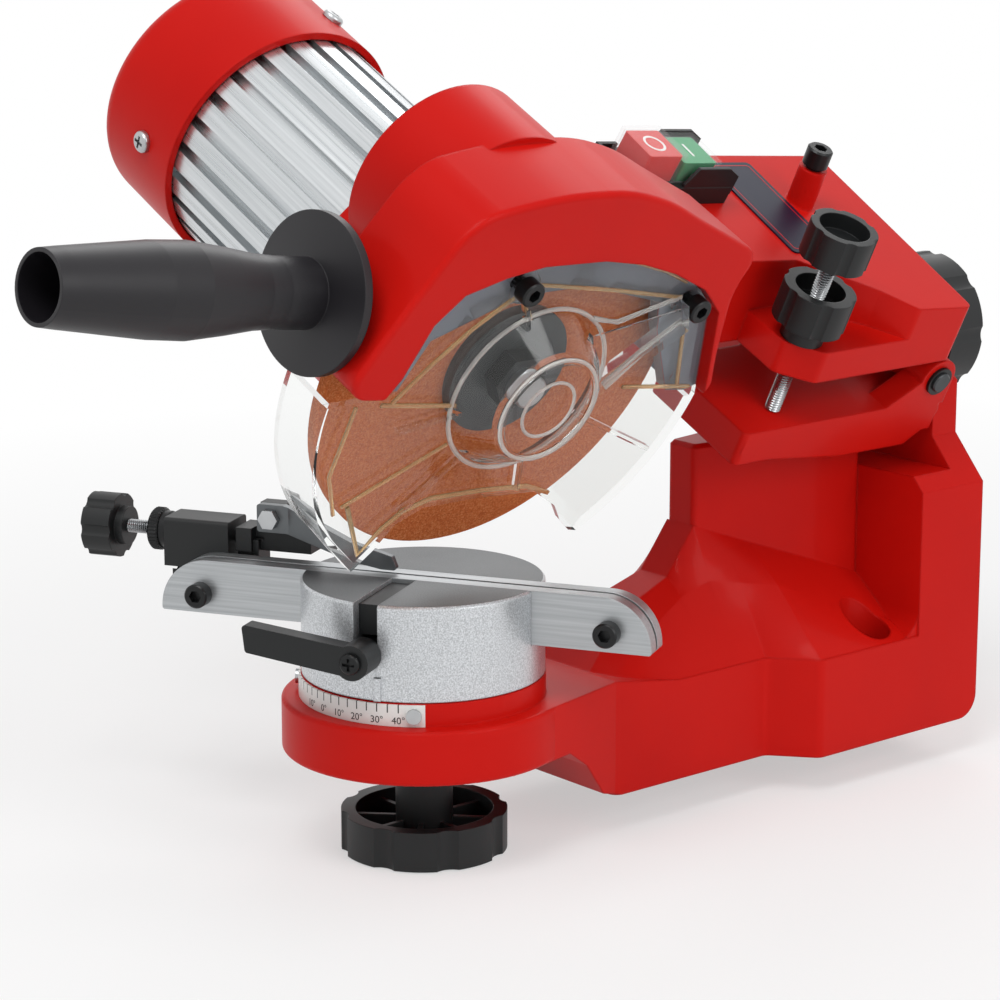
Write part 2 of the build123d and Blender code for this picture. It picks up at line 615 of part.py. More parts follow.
def vise_lock_nut():
    """Steel nut moulded into the lock knob's hub."""
    top = PLATFORM_BOTTOM - GAP
    nut = prism_z(hexagon(LOCK_NUT_FLATS), top - LOCK_NUT_HEIGHT, top)
    return nut - cylinder_z(SWIVEL_STUD_RADIUS + RUN, 0, top + 1)


# ================================================================ tilt bracket and hinge (head frame)
def ear_face(front):
    """Hinge ear, seen along the pin: round top, foot on the bracket's floor."""
    y, z = HINGE
    foot = outline([(y - front, BRACKET_TOP - 2), (y - HINGE_EAR_RADIUS, z), (y + HINGE_EAR_RADIUS, z),
                    (y + HINGE_EAR_RADIUS, BRACKET_TOP - 2)])
    return foot + Pos(y, z) * Circle(HINGE_EAR_RADIUS)


def tilt_bracket():
    """Cast bracket on the column: floor, side skirt, two hinge ears and a round rear plate."""
    near = ARM_NEAR
    plan = outline([
        (near, 110), (near, BRACKET_REAR), (ARM_FAR, BRACKET_REAR), (ARM_FAR, 172),
        (ARM_FAR + 12, 160), (-27, 150), (-27, 110),
    ], 2.5)
    body = prism_z(plan, BRACKET_BOTTOM, BRACKET_TOP)
    skirt = outline([
        (112, BRACKET_TOP - 3), (111, -42), (116, -45.5), (165, -52), (200, -52.5),
        (BRACKET_REAR - 2, -44), (BRACKET_REAR - 0.5, BRACKET_TOP - 3),
    ], 2.0)
    body += prism_x(skirt, near - EAR_THICKNESS_Y, near)
    body += prism_x(ear_face(26), near - EAR_THICKNESS_Y, near)
    body += prism_x(ear_face(26), ARM_FAR, ARM_FAR + EAR_THICKNESS_Y)
    y, z = HINGE
    pad_top = z - SPRING_RADIUS - SPRING_WIRE
    body += block(SPRING_LEFT - 2, SPRING_LEFT + 2, y - 20, y - 12, BRACKET_TOP - 1, pad_top)
    plate = Pos(TILT_X, TILT_Z) * Circle(WALL_LUG_RADIUS)
    body += prism_y(plate, ARM_LENGTH + HINGE_PIN_RADIUS + COVER_GAP, BRACKET_REAR)
    body -= block(ARM_FAR + EAR_THICKNESS_Y + 1, ARM_NEAR - EAR_THICKNESS_Y - 1, 196, 204,
                  BRACKET_BOTTOM + 4, BRACKET_BOTTOM - 1)
    body -= cylinder_y(TILT_STUD_RADIUS, ARM_LENGTH, BRACKET_REAR + 1, TILT_X, TILT_Z)
    body -= cylinder_y(STUD_FLANGE_RADIUS, ARM_LENGTH - 10, STUD_FLANGE_REAR, TILT_X, TILT_Z)
    return body - cylinder_x(HINGE_PIN_RADIUS, ARM_FAR - 1, ARM_NEAR + 1, *HINGE)


STUD_FLANGE_RADIUS = 12.0
STUD_FLANGE_REAR = ARM_LENGTH + HINGE_PIN_RADIUS + COVER_GAP + 2.4
WASHER_THICKNESS = 1.5


def tilt_stud():
    """Flanged stud from the bracket's rear plate through the rear wall into the tilt knob."""
    front = STUD_FLANGE_REAR - 2.4
    flange = cylinder_y(STUD_FLANGE_RADIUS, front, STUD_FLANGE_REAR, TILT_X, TILT_Z)
    rear = TILT_KNOB_FRONT + TILT_KNOB_LENGTH - TILT_KNOB_END - 0.5
    return flange + cylinder_y(TILT_STUD_RADIUS, front, rear, TILT_X, TILT_Z)


def hinge_pin():
    """Pin the head chops on, parallel to the motor shaft."""
    pin = cylinder_x(HINGE_PIN_RADIUS, ARM_FAR - 2.5, ARM_NEAR + 2.5, *HINGE)
    return chamfer(pin.edges().filter_by(GeomType.CIRCLE), 0.5)


def hinge_rings():
    """Retaining rings at both ends of the hinge pin."""
    rings = []
    for x in (ARM_FAR - 1.3, ARM_NEAR + 0.1):
        ring = cylinder_x(HINGE_PIN_RADIUS + 1.7, x, x + 1.2, *HINGE)
        rings.append(ring - cylinder_x(HINGE_PIN_RADIUS, x - 1, x + 2, *HINGE))
    return Compound(children=rings)


SPRING_LEFT = -55.0
SPRING_PITCH = 2.1
SPRING_WIRE = 0.9
SPRING_TURNS = 6
SPRING_RADIUS = 6.0


def lift_spring():
    """Torsion spring round the hinge pin, one leg on the bracket and one under the arm."""
    y, z = HINGE
    helix = Helix(SPRING_PITCH, SPRING_PITCH * SPRING_TURNS, SPRING_RADIUS)
    section = Plane(origin=helix @ 0, z_dir=helix % 0) * Circle(SPRING_WIRE)
    coil = sweep(section, path=helix)
    coil = Pos(SPRING_LEFT, y, z) * Rot(0, 90, 0) * coil
    leg_low = cylinder_y(SPRING_WIRE, y - 18, y, SPRING_LEFT, z - SPRING_RADIUS)
    right = SPRING_LEFT + SPRING_PITCH * SPRING_TURNS
    leg_high = cylinder_y(SPRING_WIRE, y - 18, y, right, z + SPRING_RADIUS)
    return coil + leg_low + leg_high


def tilt_washer():
    """Washer between the rear wall and the tilt knob."""
    low = WALL_REAR_LOCAL + GAP / 3
    ring = cylinder_y(13, low, low + WASHER_THICKNESS, TILT_X, TILT_Z)
    return ring - cylinder_y(TILT_STUD_RADIUS + RUN, low - 1, low + 3, TILT_X, TILT_Z)


TILT_KNOB_FRONT = WALL_REAR_LOCAL + GAP / 3 + WASHER_THICKNESS + 0.1
TILT_KNOB_LENGTH = 22.0
TILT_KNOB_END = 6.0


def tilt_knob():
    """Large lobed knob behind the rear wall that locks the tilt."""
    front = TILT_KNOB_FRONT
    knob = prism_y(lobed_face(TILT_KNOB_RADIUS, 8, 1.0), front + 5, front + TILT_KNOB_LENGTH)
    knob = Pos(TILT_X, 0, TILT_Z) * knob
    knob += cylinder_y(15, front, front + 6, TILT_X, TILT_Z)
    knob -= Pos(TILT_X, 0, TILT_Z) * prism_y(hexagon(18), front - 1, front + 10)
    bore_end = front + TILT_KNOB_LENGTH - TILT_KNOB_END
    return knob - cylinder_y(TILT_STUD_RADIUS + 0.5, front, bore_end, TILT_X, TILT_Z)


def tilt_nut():
    """Steel nut moulded into the tilt knob."""
    front = TILT_KNOB_FRONT
    nut = Pos(TILT_X, 0, TILT_Z) * prism_y(hexagon(18), front, front + 10)
    return nut - cylinder_y(TILT_STUD_RADIUS + RUN, front - 1, front + 11, TILT_X, TILT_Z)


# ================================================================ head casting (head frame)
ARM_SLOPE_X = -0.08         # arm's top falls toward the disc's open side
ARM_SLOPE_Y = -0.097        # and toward the hinge
ARM_REAR = ARM_LENGTH + 1.9
ARM_REAR_HEIGHT = 8.2       # height of the arm's rear corner on the near side


def arm_top(x, y):
    """Height of the arm's sloping top face."""
    return ARM_REAR_HEIGHT + ARM_SLOPE_X * (x - ARM_NEAR) + ARM_SLOPE_Y * (y - ARM_REAR)


def below_arm_top(drop=0.0):
    """Everything below the arm's top face, or below a face this far under it."""
    corner = Vector(ARM_NEAR, ARM_REAR, ARM_REAR_HEIGHT - drop)
    slope = Plane(origin=corner, z_dir=(-ARM_SLOPE_X, -ARM_SLOPE_Y, 1))
    return slope * Pos(0, 0, -150) * Box(700, 700, 300)


def on_arm_top(x, y):
    """Placement square to the arm's top face at a point of it."""
    return Location(Plane(origin=(x, y, arm_top(x, y)), x_dir=(1, 0, ARM_SLOPE_X),
                          z_dir=(-ARM_SLOPE_X, -ARM_SLOPE_Y, 1)))


def cover_points():
    """Wheel cover outline in (y, z): round the disc, then down to the cover's rear end."""
    arc = [(173, 4.7), (157, 1.2), (140.6, 2.4), (129, 7.6), (121.5, 8.6), (110, 3.6), (98, 0.8), (80, 0.0),
           (64, 0.0)]
    points = [polar(COVER_RADIUS + extra, angle) for angle, extra in arc]
    return points + [(49, 62), (83, 45), (77, 31), (80.5, 5), (GUARD_RADIUS + 3, ARM_BOTTOM)]


def guard_top_points():
    """Upper edge of the clear guard in (y, z), from left to right."""
    return [(-66, 6), (-60, 16), (-54, 35), (-45, 45), (-30, 49.5), (-15, 52), (11, 51),
            (29, 47.5), (45, 42), (62, 33.5), (73, 23), (82, -14)]


def arm_plan(inset=0.0):
    """Arm outline in (x, y), with an optional inset for the hollow."""
    near = ARM_NEAR - inset
    far = ARM_FAR + inset
    side = -8.3 - inset
    return [(far, 64 + inset), (far, ARM_REAR - inset), (near, ARM_REAR - inset), (near, 177 + inset),
            (10.7 - inset, 166 + inset * 0.4), (side, 139), (side, 64 + inset)]


EAR_FRONT = 123.5
EAR_REAR = 186.0
LUG_RADIUS = HINGE_EAR_RADIUS
REAR_EDGE_CLEARANCE = 13.0  # arm's rear wall is cut back round the hinge, to swing over the bracket
LUG_NEAR = (ARM_NEAR - EAR_THICKNESS_Y - GAP - 10.0, ARM_NEAR - EAR_THICKNESS_Y - GAP)
LUG_FAR = (ARM_FAR + EAR_THICKNESS_Y + GAP, ARM_FAR + EAR_THICKNESS_Y + GAP + 4.0)
HUMP_Y = -9.5
HUMP_Z = 45.0
HUMP_RADIUS = 35.0
HUMP_REAR = -43.0
BOSS_X = -42.0
BOSS_Y = 170.5
BOSS_RADIUS = 5.3
BOSS_HEIGHT = 15.0


def head_casting():
    """Wheel cover, motor bell, arm, ear and hinge lugs in one casting."""
    cover = prism_x(smooth_outline(cover_points()), COVER_BACK, COVER_FRONT)
    cover = fillet(cover.edges().group_by(Axis.X)[-1], COVER_EDGE_RADIUS)
    bell = cylinder_x(FLANGE_RADIUS, MOTOR_FRONT, COVER_BACK + COVER_BACK_WALL)
    hump = cylinder_x(HUMP_RADIUS, HUMP_REAR, COVER_BACK + COVER_BACK_WALL, HUMP_Y, HUMP_Z)
    arm = prism_z(outline(arm_plan(), 3), ARM_BOTTOM, 60) & below_arm_top()
    ear = outline([
        (-16, EAR_FRONT), (12, EAR_FRONT), (ARM_NEAR, EAR_FRONT + 12), (ARM_NEAR, EAR_REAR),
        (-16, EAR_REAR),
    ], 4)
    ear = prism_z(ear, ARM_BOTTOM, EAR_TOP)
    body = cover + bell + hump + arm + ear

    hollow = prism_z(outline(arm_plan(ARM_WALL)), ARM_BOTTOM - 1, 60) & below_arm_top(ARM_WALL)
    hollow -= block(-30, 40, 0, 128, -30, 60)
    hollow -= block(-18, ARM_NEAR + 1, EAR_FRONT, EAR_REAR, ARM_BOTTOM - 2, EAR_TOP)
    body -= hollow
    body -= cylinder_x(CAVITY_RADIUS, COVER_BACK + COVER_BACK_WALL, GUARD_SEAT - 5)
    body -= prism_x(disc_window(), GUARD_SEAT - 7, COVER_FRONT + 1)
    body -= prism_x(guard_pocket(), GUARD_SEAT, COVER_FRONT + 1)
    body -= cylinder_x(MOTOR_BORE_RADIUS, MOTOR_FRONT - 1, FRONT_BEARING - 8)
    body += cylinder_x(BEARING_RADIUS + 4, FRONT_BEARING - 9, COVER_BACK + 1)
    body -= cylinder_x(BEARING_RADIUS, FRONT_BEARING - 10, FRONT_BEARING + BEARING_WIDTH)
    body -= cylinder_x(SHAFT_RADIUS + 6, FRONT_BEARING, COVER_BACK + COVER_BACK_WALL + 1)

    for low, high in (LUG_NEAR, LUG_FAR):
        y, z = HINGE
        body += cylinder_x(LUG_RADIUS, low, high, y, z)
        post = block(low, high, y - LUG_RADIUS, y, z, arm_top(high, ARM_REAR) - 1)
        body += post
    body -= cylinder_x(HINGE_PIN_RADIUS + RUN, ARM_FAR - 5, ARM_NEAR + 5, *HINGE)
    body -= cylinder_x(REAR_EDGE_CLEARANCE, LUG_FAR[1], LUG_NEAR[0], *HINGE)

    boss_top = arm_top(BOSS_X, BOSS_Y) + BOSS_HEIGHT
    body += cylinder_z(BOSS_RADIUS, boss_top - BOSS_HEIGHT - 3, boss_top, BOSS_X, BOSS_Y)
    body -= cylinder_z(STOP_BOLT_RADIUS, 0, boss_top + 1, BOSS_X, BOSS_Y)
    body -= cylinder_z(DEPTH_SCREW_RADIUS + RUN, ARM_BOTTOM - 1, EAR_TOP + 1, DEPTH_X, DEPTH_Y)
    body += handle_lug()
    body -= handle_axis() * (cylinder_z(HANDLE_FLANGE_RADIUS + 1, 2.5, 40) + cylinder_z(12.5, 0, 40))
    body -= handle_axis() * cylinder_z(HANDLE_STUD_RADIUS, -HANDLE_LUG, 20)
    for y, z in GUARD_SCREWS:
        body -= cylinder_x(GUARD_SCREW_RADIUS, GUARD_SEAT - 8, COVER_FRONT, y, z)
    body -= on_arm_top(SWITCH_X, SWITCH_Y) * block(-11.4, 11.4, -20.6, 20.6, -22, 1)
    return body


def disc_window():
    """Opening in the cover's front wall through which the disc reaches the guard."""
    return outline([(-95, 2), (-56, 2), (-47, 24), (-24, 33), (-4, 37), (14, 37), (50, 26), (54, 14),
                    (70, ARM_BOTTOM), (78, -60), (-95, -60)])


def guard_pocket():
    """Recess in the cover's front in which the guard lies."""
    top = guard_top_points()
    return outline([(-95, 5.5)] + top + [(86, -70), (-95, -70)])


FRONT_BEARING = -25.0
STOP_BOLT_RADIUS = 3.0
HANDLE_LUG = 12.0
HANDLE_LUG_RADIUS = 11.0
HANDLE_STUD_RADIUS = 4.0
LUG_SIDE = -4.2             # lug's boss stays behind the disc
GUARD_SCREWS = ((-17.5, 42.5), (62.3, 25.5))
GUARD_SCREW_RADIUS = 2.5
SWITCH_X = -54.0
SWITCH_Y = 103.7


def handle_axis():
    """Placement on the handle's axis at the lug's face, Z pointing out along the handle."""
    return Pos(HANDLE_X, HANDLE_START, HANDLE_Z) * Rot(90 - HANDLE_RISE, 0, 0)


def handle_lug():
    """Round lug on the cover's front that the handle screws to."""
    lug = handle_axis() * cylinder_z(HANDLE_LUG_RADIUS, -HANDLE_LUG - 3, 0)
    return lug - cylinder_x(CAVITY_RADIUS, LUG_SIDE, 60)


# ================================================================ on the head (head frame)
def guard():
    """Clear guard: face plate, rim round the disc's edge and a hub dome with ribs."""
    top = [(y * 0.995, z - 0.5) for y, z in guard_top_points()]
    region = outline([(-90, 4.8)] + top + [
        (90, -16), (90, -90), (52, -90), (48, -67.5), (44, -66.5), (38, -61), (33, -54), (21, -46),
        (-2, -44), (-28, -43.5), (-38, -48.5), (-44, -58), (-51, -66), (-58, -90), (-90, -90),
    ])
    plate_face = Circle(GUARD_RADIUS) & region
    front = GUARD_SEAT + GUARD_THICKNESS
    plate = prism_x(plate_face, GUARD_SEAT, front)

    rim_region = outline([(-90, 4.8), (-60, 4.8), (-44, -58), (-51, -66), (-58, -90), (-90, -90)])
    rim_region += outline([(72, -16.5), (90, -16.5), (90, -90), (52, -90), (48, -67.5), (60, -40)])
    rim_face = (Circle(GUARD_RADIUS) - Circle(GUARD_RADIUS - GUARD_THICKNESS)) & rim_region
    rim = prism_x(rim_face, GUARD_RIM_BACK, front)

    height = GUARD_DOME_FRONT - front
    turn = Rot(0, 90, 0)
    dome = Pos(front + height / 2, 0, 0) * turn * Cone(30, 20.5, height)
    inner = Pos(front + height / 2 - GUARD_THICKNESS, 0, 0) * turn * Cone(30, 20.5, height)
    angle = degrees(atan2(GUARD_SCREWS[1][1], GUARD_SCREWS[1][0]))
    reach = hypot(*GUARD_SCREWS[1]) - 5
    channel = outline([(10, 17.5), (reach, 5.5), (reach, -5.5), (10, -17.5)])
    channel = Rot(angle, 0, 0) * prism_x(channel, GUARD_SEAT, front + 6)
    trough = outline([(24, 12.6), (reach - 2, 3.6), (reach - 2, -3.6), (24, -12.6)])
    trough = Rot(angle, 0, 0) * prism_x(trough, GUARD_SEAT - 1, front + 4)
    shell = plate + rim + dome + channel - trough
    shell -= inner & block(GUARD_SEAT - 1, GUARD_DOME_FRONT, -50, 50, -50, 50)
    shell -= cylinder_x(27, GUARD_SEAT - 1, front)
    ring = cylinder_x(19.7, GUARD_DOME_FRONT - 1, GUARD_DOME_FRONT + 1.2)
    ring -= cylinder_x(17.9, GUARD_DOME_FRONT, GUARD_DOME_FRONT + 2)
    shell += ring
    for y, z in [GUARD_SCREWS[0], (-52, -8), (-40, -42), (66, -34), (10, -42)]:
        angle = degrees(atan2(z, y))
        reach = hypot(y, z) - (5 if (y, z) in GUARD_SCREWS else 0)
        shell += Rot(angle, 0, 0) * block(front - 0.5, front + 2.6, 28, reach, -0.8, 0.8)
    for y, z in GUARD_SCREWS:
        shell += prism_x(Pos(y, z) * Circle(6) & region, GUARD_SEAT, front + 1.5)
        shell -= cylinder_x(GUARD_SCREW_RADIUS, GUARD_SEAT - 1, front + 3, y, z)
    return shell


def guard_screws():
    """Socket screws of the guard."""
    screws = []
    for y, z in GUARD_SCREWS:
        screw = cap_screw(GUARD_SCREW_RADIUS, 7.5, 4.4, 5, 4)
        screws.append(Pos(GUARD_SEAT + GUARD_THICKNESS + 1.5, y, z) * Rot(0, 90, 0) * screw)
    return Compound(children=screws)


FLANGE_PLATE_RADIUS = 24.0
SHAFT_END = 19.0


def grinding_disc():
    """Abrasive disc."""
    half = DISC_THICKNESS / 2
    disc = cylinder_x(DISC_RADIUS, -half, half)
    disc = chamfer(disc.edges().filter_by(GeomType.CIRCLE), 0.6)
    return disc - cylinder_x(DISC_BORE_RADIUS, -half - 1, half + 1)


def inner_flange():
    """Flange behind the disc, with the hub that centres it."""
    half = DISC_THICKNESS / 2
    body = cylinder_x(FLANGE_PLATE_RADIUS, -half - 4.5, -half) + cylinder_x(DISC_BORE_RADIUS, -half, half - 0.4)
    return body - cylinder_x(SHAFT_RADIUS, -20, 20)


def outer_flange():
    """Flange in front of the disc."""
    half = DISC_THICKNESS / 2
    return cylinder_x(FLANGE_PLATE_RADIUS, half, half + 4) - cylinder_x(SHAFT_RADIUS, -20, 20)


def flange_nut():
    """Nut that clamps the disc."""
    seat = DISC_THICKNESS / 2 + 4
    return prism_x(hexagon(18), seat, seat + 7) - cylinder_x(SHAFT_RADIUS, 0, 20)


def motor_shaft():
    """Shaft from the rear bearing to the disc, with a collar behind the inner flange."""
    collar = -DISC_THICKNESS / 2 - 4.5
    shaft = cylinder_x(SHAFT_RADIUS, REAR_BEARING + 0.5, SHAFT_END)
    shaft = chamfer(shaft.edges().filter_by(GeomType.CIRCLE), 0.6)
    return shaft + cylinder_x(SHAFT_RADIUS + 3, FRONT_BEARING + BEARING_WIDTH + 0.5, collar)


REAR_BEARING = -139.0


def rotor_core():
    """Laminated rotor with its two end rings."""
    core = cylinder_x(ROTOR_RADIUS, STACK_REAR, STACK_FRONT)
    core += cylinder_x(ROTOR_RADIUS - 3, STACK_REAR - 4, STACK_FRONT + 4)
    return core - cylinder_x(SHAFT_RADIUS, -150, 0)


def cooling_fan():
    """Small radial fan behind the rotor."""
    back = STACK_REAR - 10.5
    fan = cylinder_x(30, back - 1.5, back) + cylinder_x(SHAFT_RADIUS + 4, back - 1.5, back + 4)
    for index in range(9):
        fan += Rot(index * 40, 0, 0) * block(back - 5, back - 1, 21.5, 30, -0.8, 0.8)
    return fan - cylinder_x(SHAFT_RADIUS, back - 10, back + 10)


def stator_core():
    """Laminated stator ring with slots for the windings."""
    face = Circle(MOTOR_BORE_RADIUS) - Circle(ROTOR_RADIUS + AIR_GAP)
    for index in range(12):
        face -= Rot(0, 0, index * 30) * Pos(26, 0) * RectangleRounded(9, 4, 1.5)
    return prism_x(face, STACK_REAR, STACK_FRONT)


def stator_windings():
    """Copper winding heads at both ends of the stator."""
    heads = []
    for x0, x1 in ((STACK_FRONT, STACK_FRONT + 9), (STACK_REAR - 9, STACK_REAR)):
        head = cylinder_x(MOTOR_BORE_RADIUS - 3, x0, x1) - cylinder_x(ROTOR_RADIUS + 1.5, x0 - 1, x1 + 1)
        heads.append(fillet(head.edges().filter_by(GeomType.CIRCLE), 2))
    return Compound(children=heads)


def bearing(x0, outer):
    """Ball bearing: two rings and the balls between them."""
    x1 = x0 + BEARING_WIDTH
    middle = (SHAFT_RADIUS + outer) / 2
    ball = (outer - SHAFT_RADIUS) * 0.27
    rings = [
        cylinder_x(outer, x0, x1) - cylinder_x(middle + ball, x0 - 1, x1 + 1),
        cylinder_x(middle - ball, x0, x1) - cylinder_x(SHAFT_RADIUS, x0 - 1, x1 + 1),
    ]
    balls = []
    for index in range(8):
        y, z = polar(middle, index * 45)
        balls.append(Pos((x0 + x1) / 2, y, z) * Sphere(ball - 0.02))
    return Compound(children=rings + balls)


def motor_housing():
    """Extruded aluminium housing with fins along the shaft."""
    face = Circle(MOTOR_FIN_RADIUS)
    groove_width = 2 * pi * MOTOR_FIN_RADIUS / MOTOR_FIN_COUNT * 0.34
    middle = MOTOR_FIN_RADIUS - MOTOR_FIN_DEPTH / 2 + 1
    for index in range(MOTOR_FIN_COUNT):
        angle = (index + 0.5) * 360 / MOTOR_FIN_COUNT
        face -= Rot(0, 0, angle) * Pos(middle, 0) * Rectangle(MOTOR_FIN_DEPTH + 2, groove_width)
    face -= Circle(MOTOR_BORE_RADIUS)
    return prism_x(face, MOTOR_REAR, MOTOR_FRONT)


def motor_shield():
    """Rear bearing shield, with three lugs for the end cap's screws."""
    shield = cylinder_x(MOTOR_FIN_RADIUS - MOTOR_FIN_DEPTH, MOTOR_REAR - 6, MOTOR_REAR)
    shield += cylinder_x(MOTOR_BORE_RADIUS, MOTOR_REAR, MOTOR_REAR + 3)
    shield += cylinder_x(BEARING_RADIUS + 4, MOTOR_REAR - 6, REAR_BEARING + BEARING_WIDTH + 1)
    shield -= cylinder_x(BEARING_RADIUS, REAR_BEARING, MOTOR_REAR + 20)
    for angle in CAP_SCREW_ANGLES:
        lug = block(CAP_SCREW_X - 6, MOTOR_REAR, CAP_RADIUS - CAP_WALL - 7, CAP_RADIUS - CAP_WALL - 0.4, -5, 5)
        lug -= cylinder_y(1.9, 20, 60, CAP_SCREW_X, 0)
        shield += Rot(angle, 0, 0) * lug
    return shield


CAP_SCREW_ANGLES = (183, 63, 303)
CAP_SCREW_X = -149.0


def motor_end_cap():
    """Round red cap over the motor's rear end."""
    cap = cylinder_x(CAP_RADIUS, CAP_REAR, CAP_FRONT)
    cap = fillet(cap.edges().group_by(Axis.X)[0], 7)
    core = cylinder_x(CAP_RADIUS - CAP_WALL, CAP_REAR + CAP_WALL, CAP_FRONT + 1)
    core = fillet(core.edges().group_by(Axis.X)[0], 5)
    cap -= core
    for angle in CAP_SCREW_ANGLES:
        cap -= Rot(angle, 0, 0) * cylinder_y(1.9 + RUN, 30, 60, CAP_SCREW_X, 0)
    return cap - cylinder_x(GLAND_RADIUS, CAP_REAR - 1, CAP_REAR + 5, 0, GLAND_Z)


def end_cap_screws():
    """Pan-head screws round the end cap."""
    screws = []
    for angle in CAP_SCREW_ANGLES:
        screw = pan_screw(1.9, 9, 3.9, 2.4)
        screws.append(Rot(angle, 0, 0) * Pos(CAP_SCREW_X, CAP_RADIUS, 0) * Rot(-90, 0, 0) * screw)
    return Compound(children=screws)


GLAND_RADIUS = 6.0
GLAND_Z = -24.0


def cable_gland():
    """Gland in the end cap's face where the mains cord enters."""
    gland = cylinder_x(GLAND_RADIUS, CAP_REAR - 4, CAP_REAR + CAP_WALL, 0, GLAND_Z)
    gland += cylinder_x(GLAND_RADIUS + 3, CAP_REAR - 9, CAP_REAR, 0, GLAND_Z)
    gland += cylinder_x(GLAND_RADIUS + 3, CAP_REAR + CAP_WALL, CAP_REAR + CAP_WALL + 3, 0, GLAND_Z)
    return gland - cylinder_x(3.6, CAP_REAR - 20, CAP_REAR + 10, 0, GLAND_Z)


# ---------------------------------------------------------------- handle
def handle_stud():
    """Stud that carries the handle."""
    return handle_axis() * cylinder_z(HANDLE_STUD_RADIUS, -HANDLE_LUG, HANDLE_LENGTH * 0.62)


def handle_grip():
    """Black grip: round flange, neck, swelling body and an open end."""
    length = HANDLE_LENGTH
    profile = [
        (0, 0), (11.5, 0), (11.5, 2.6), (HANDLE_FLANGE_RADIUS, 3), (HANDLE_FLANGE_RADIUS, 6),
        (11.4, 8), (11.4, 22), (11.9, 30), (13.6, 42), (15.2, 56), (14.9, 70), (13.6, 86), (12.2, length - 6),
        (11.6, length),
        (0, length),
    ]
    solid = revolve(make_face(Plane.XZ * Polyline(*profile, close=True)), Axis.Z)
    solid -= cylinder_z(HANDLE_STUD_RADIUS, -1, HANDLE_LENGTH * 0.62)
    solid -= cylinder_z(10.3, HANDLE_LENGTH * 0.66, length + 1)
    return handle_axis() * solid


# ---------------------------------------------------------------- switch
SWITCH_HALF_X = 12.3
SWITCH_FRONT = -23.7        # along the arm, toward the disc
SWITCH_REAR = 27.3
SWITCH_BASE = 7.0
SWITCH_WALL = 1.5
BUTTON_HALF_X = 7.8
BUTTON_HALF_Y = 8.2
BUTTON_OFFSET = 9.4
BUTTON_TRAVEL = 2.0


def switch_frame():
    """Black switch body: base set into the arm's top, a low wall at one end and a cheek on each side."""
    inner = SWITCH_HALF_X - SWITCH_WALL
    base = block(-SWITCH_HALF_X, SWITCH_HALF_X, SWITCH_FRONT, SWITCH_REAR, 0.05, SWITCH_BASE)
    frame = fillet(base.edges().filter_by(Axis.Z), 1.2)
    frame += block(-11.2, 11.2, -20.4, 20.4, -16, 1)
    wall = block(-SWITCH_HALF_X, SWITCH_HALF_X, SWITCH_FRONT + 0.1, -14, SWITCH_BASE - 3, 9.5)
    frame += wall - block(-inner, inner, SWITCH_FRONT + SWITCH_WALL, -13, 0, 10)
    frame -= block(-inner, inner, SWITCH_FRONT + SWITCH_WALL, -19.8, 2.5, 10)
    side = outline([(1.5, 4), (1.5, 8), (5.5, 15), (21, 15), (27, 11.8), (27, 4)])
    frame += prism_x(side, inner, SWITCH_HALF_X - 0.1)
    frame += prism_x(side, 0.1 - SWITCH_HALF_X, -inner)
    frame -= block(-BUTTON_HALF_X - 0.3, BUTTON_HALF_X + 0.3, -17.9, 17.9, -10, 10)
    frame += block(-BUTTON_HALF_X - 0.5, BUTTON_HALF_X + 0.5, -0.6, 0.6, -10, SWITCH_BASE - 0.5)
    return on_arm_top(SWITCH_X, SWITCH_Y) * frame


def switch_button(side, height):
    """Push button: side -1 is stop, +1 is start."""
    middle = side * BUTTON_OFFSET
    button = block(-BUTTON_HALF_X, BUTTON_HALF_X, middle - BUTTON_HALF_Y, middle + BUTTON_HALF_Y, -6, height)
    button = fillet(button.edges().filter_by(Axis.Z), 1)
    return on_arm_top(SWITCH_X, SWITCH_Y) * button


def stop_button():
    """Taller red stop button."""
    return switch_button(-1, 17.4)


def start_button():
    """Green start button."""
    return switch_button(1, 14.5)


def button_cap(start, end, top):
    """Clear box over one button, open at the bottom."""
    cap = block(-9.3, 9.3, start, end, SWITCH_BASE + 0.05, top)
    cap = fillet(cap.edges().filter_by(Axis.Z), 1.2)
    return fillet(cap.edges().group_by(Axis.Z)[-1], 0.7)


def switch_cover():
    """Clear moulding with a tall cap over the stop button and a lower one over the start button."""
    cover = button_cap(-19.2, 0.3, 18.9) + button_cap(-0.3, 19.0, 16.0)
    cover -= block(-8.1, 8.1, -18.0, -0.9, 0, 17.7)
    cover -= block(-8.1, 8.1, 0.9, 17.9, 0, 14.8)
    return on_arm_top(SWITCH_X, SWITCH_Y) * cover


# ---------------------------------------------------------------- small head parts
def head_stop_screw():
    """Tall socket screw on the arm's boss."""
    screw = cap_screw(STOP_BOLT_RADIUS, 22, 4.8, 6.8, 4.4)
    return Pos(BOSS_X, BOSS_Y, arm_top(BOSS_X, BOSS_Y) + BOSS_HEIGHT + 1.5) * screw


def label_plate():
    """Bare label plate on the arm's top."""
    face = outline([(-27, -11.5), (27, -11.5), (27, 11.5), (-27, 11.5)], 2)
    return on_arm_top(-39, 152) * prism_z(face, 0.02, 0.6)


DEPTH_KNOB_LOW = 31.0
DEPTH_KNOB_TOP = 44.0
DEPTH_KNOB_RADIUS = 12.3
DEPTH_NUT_TOP = 19.0


def depth_rod():
    """Threaded rod that stops the chopping head on the bracket."""
    low = BRACKET_TOP + GAP
    rod = cylinder_z(DEPTH_SCREW_RADIUS, low, DEPTH_KNOB_TOP - 6, DEPTH_X, DEPTH_Y)
    return chamfer(rod.edges().group_by(Axis.Z)[0], 0.8)


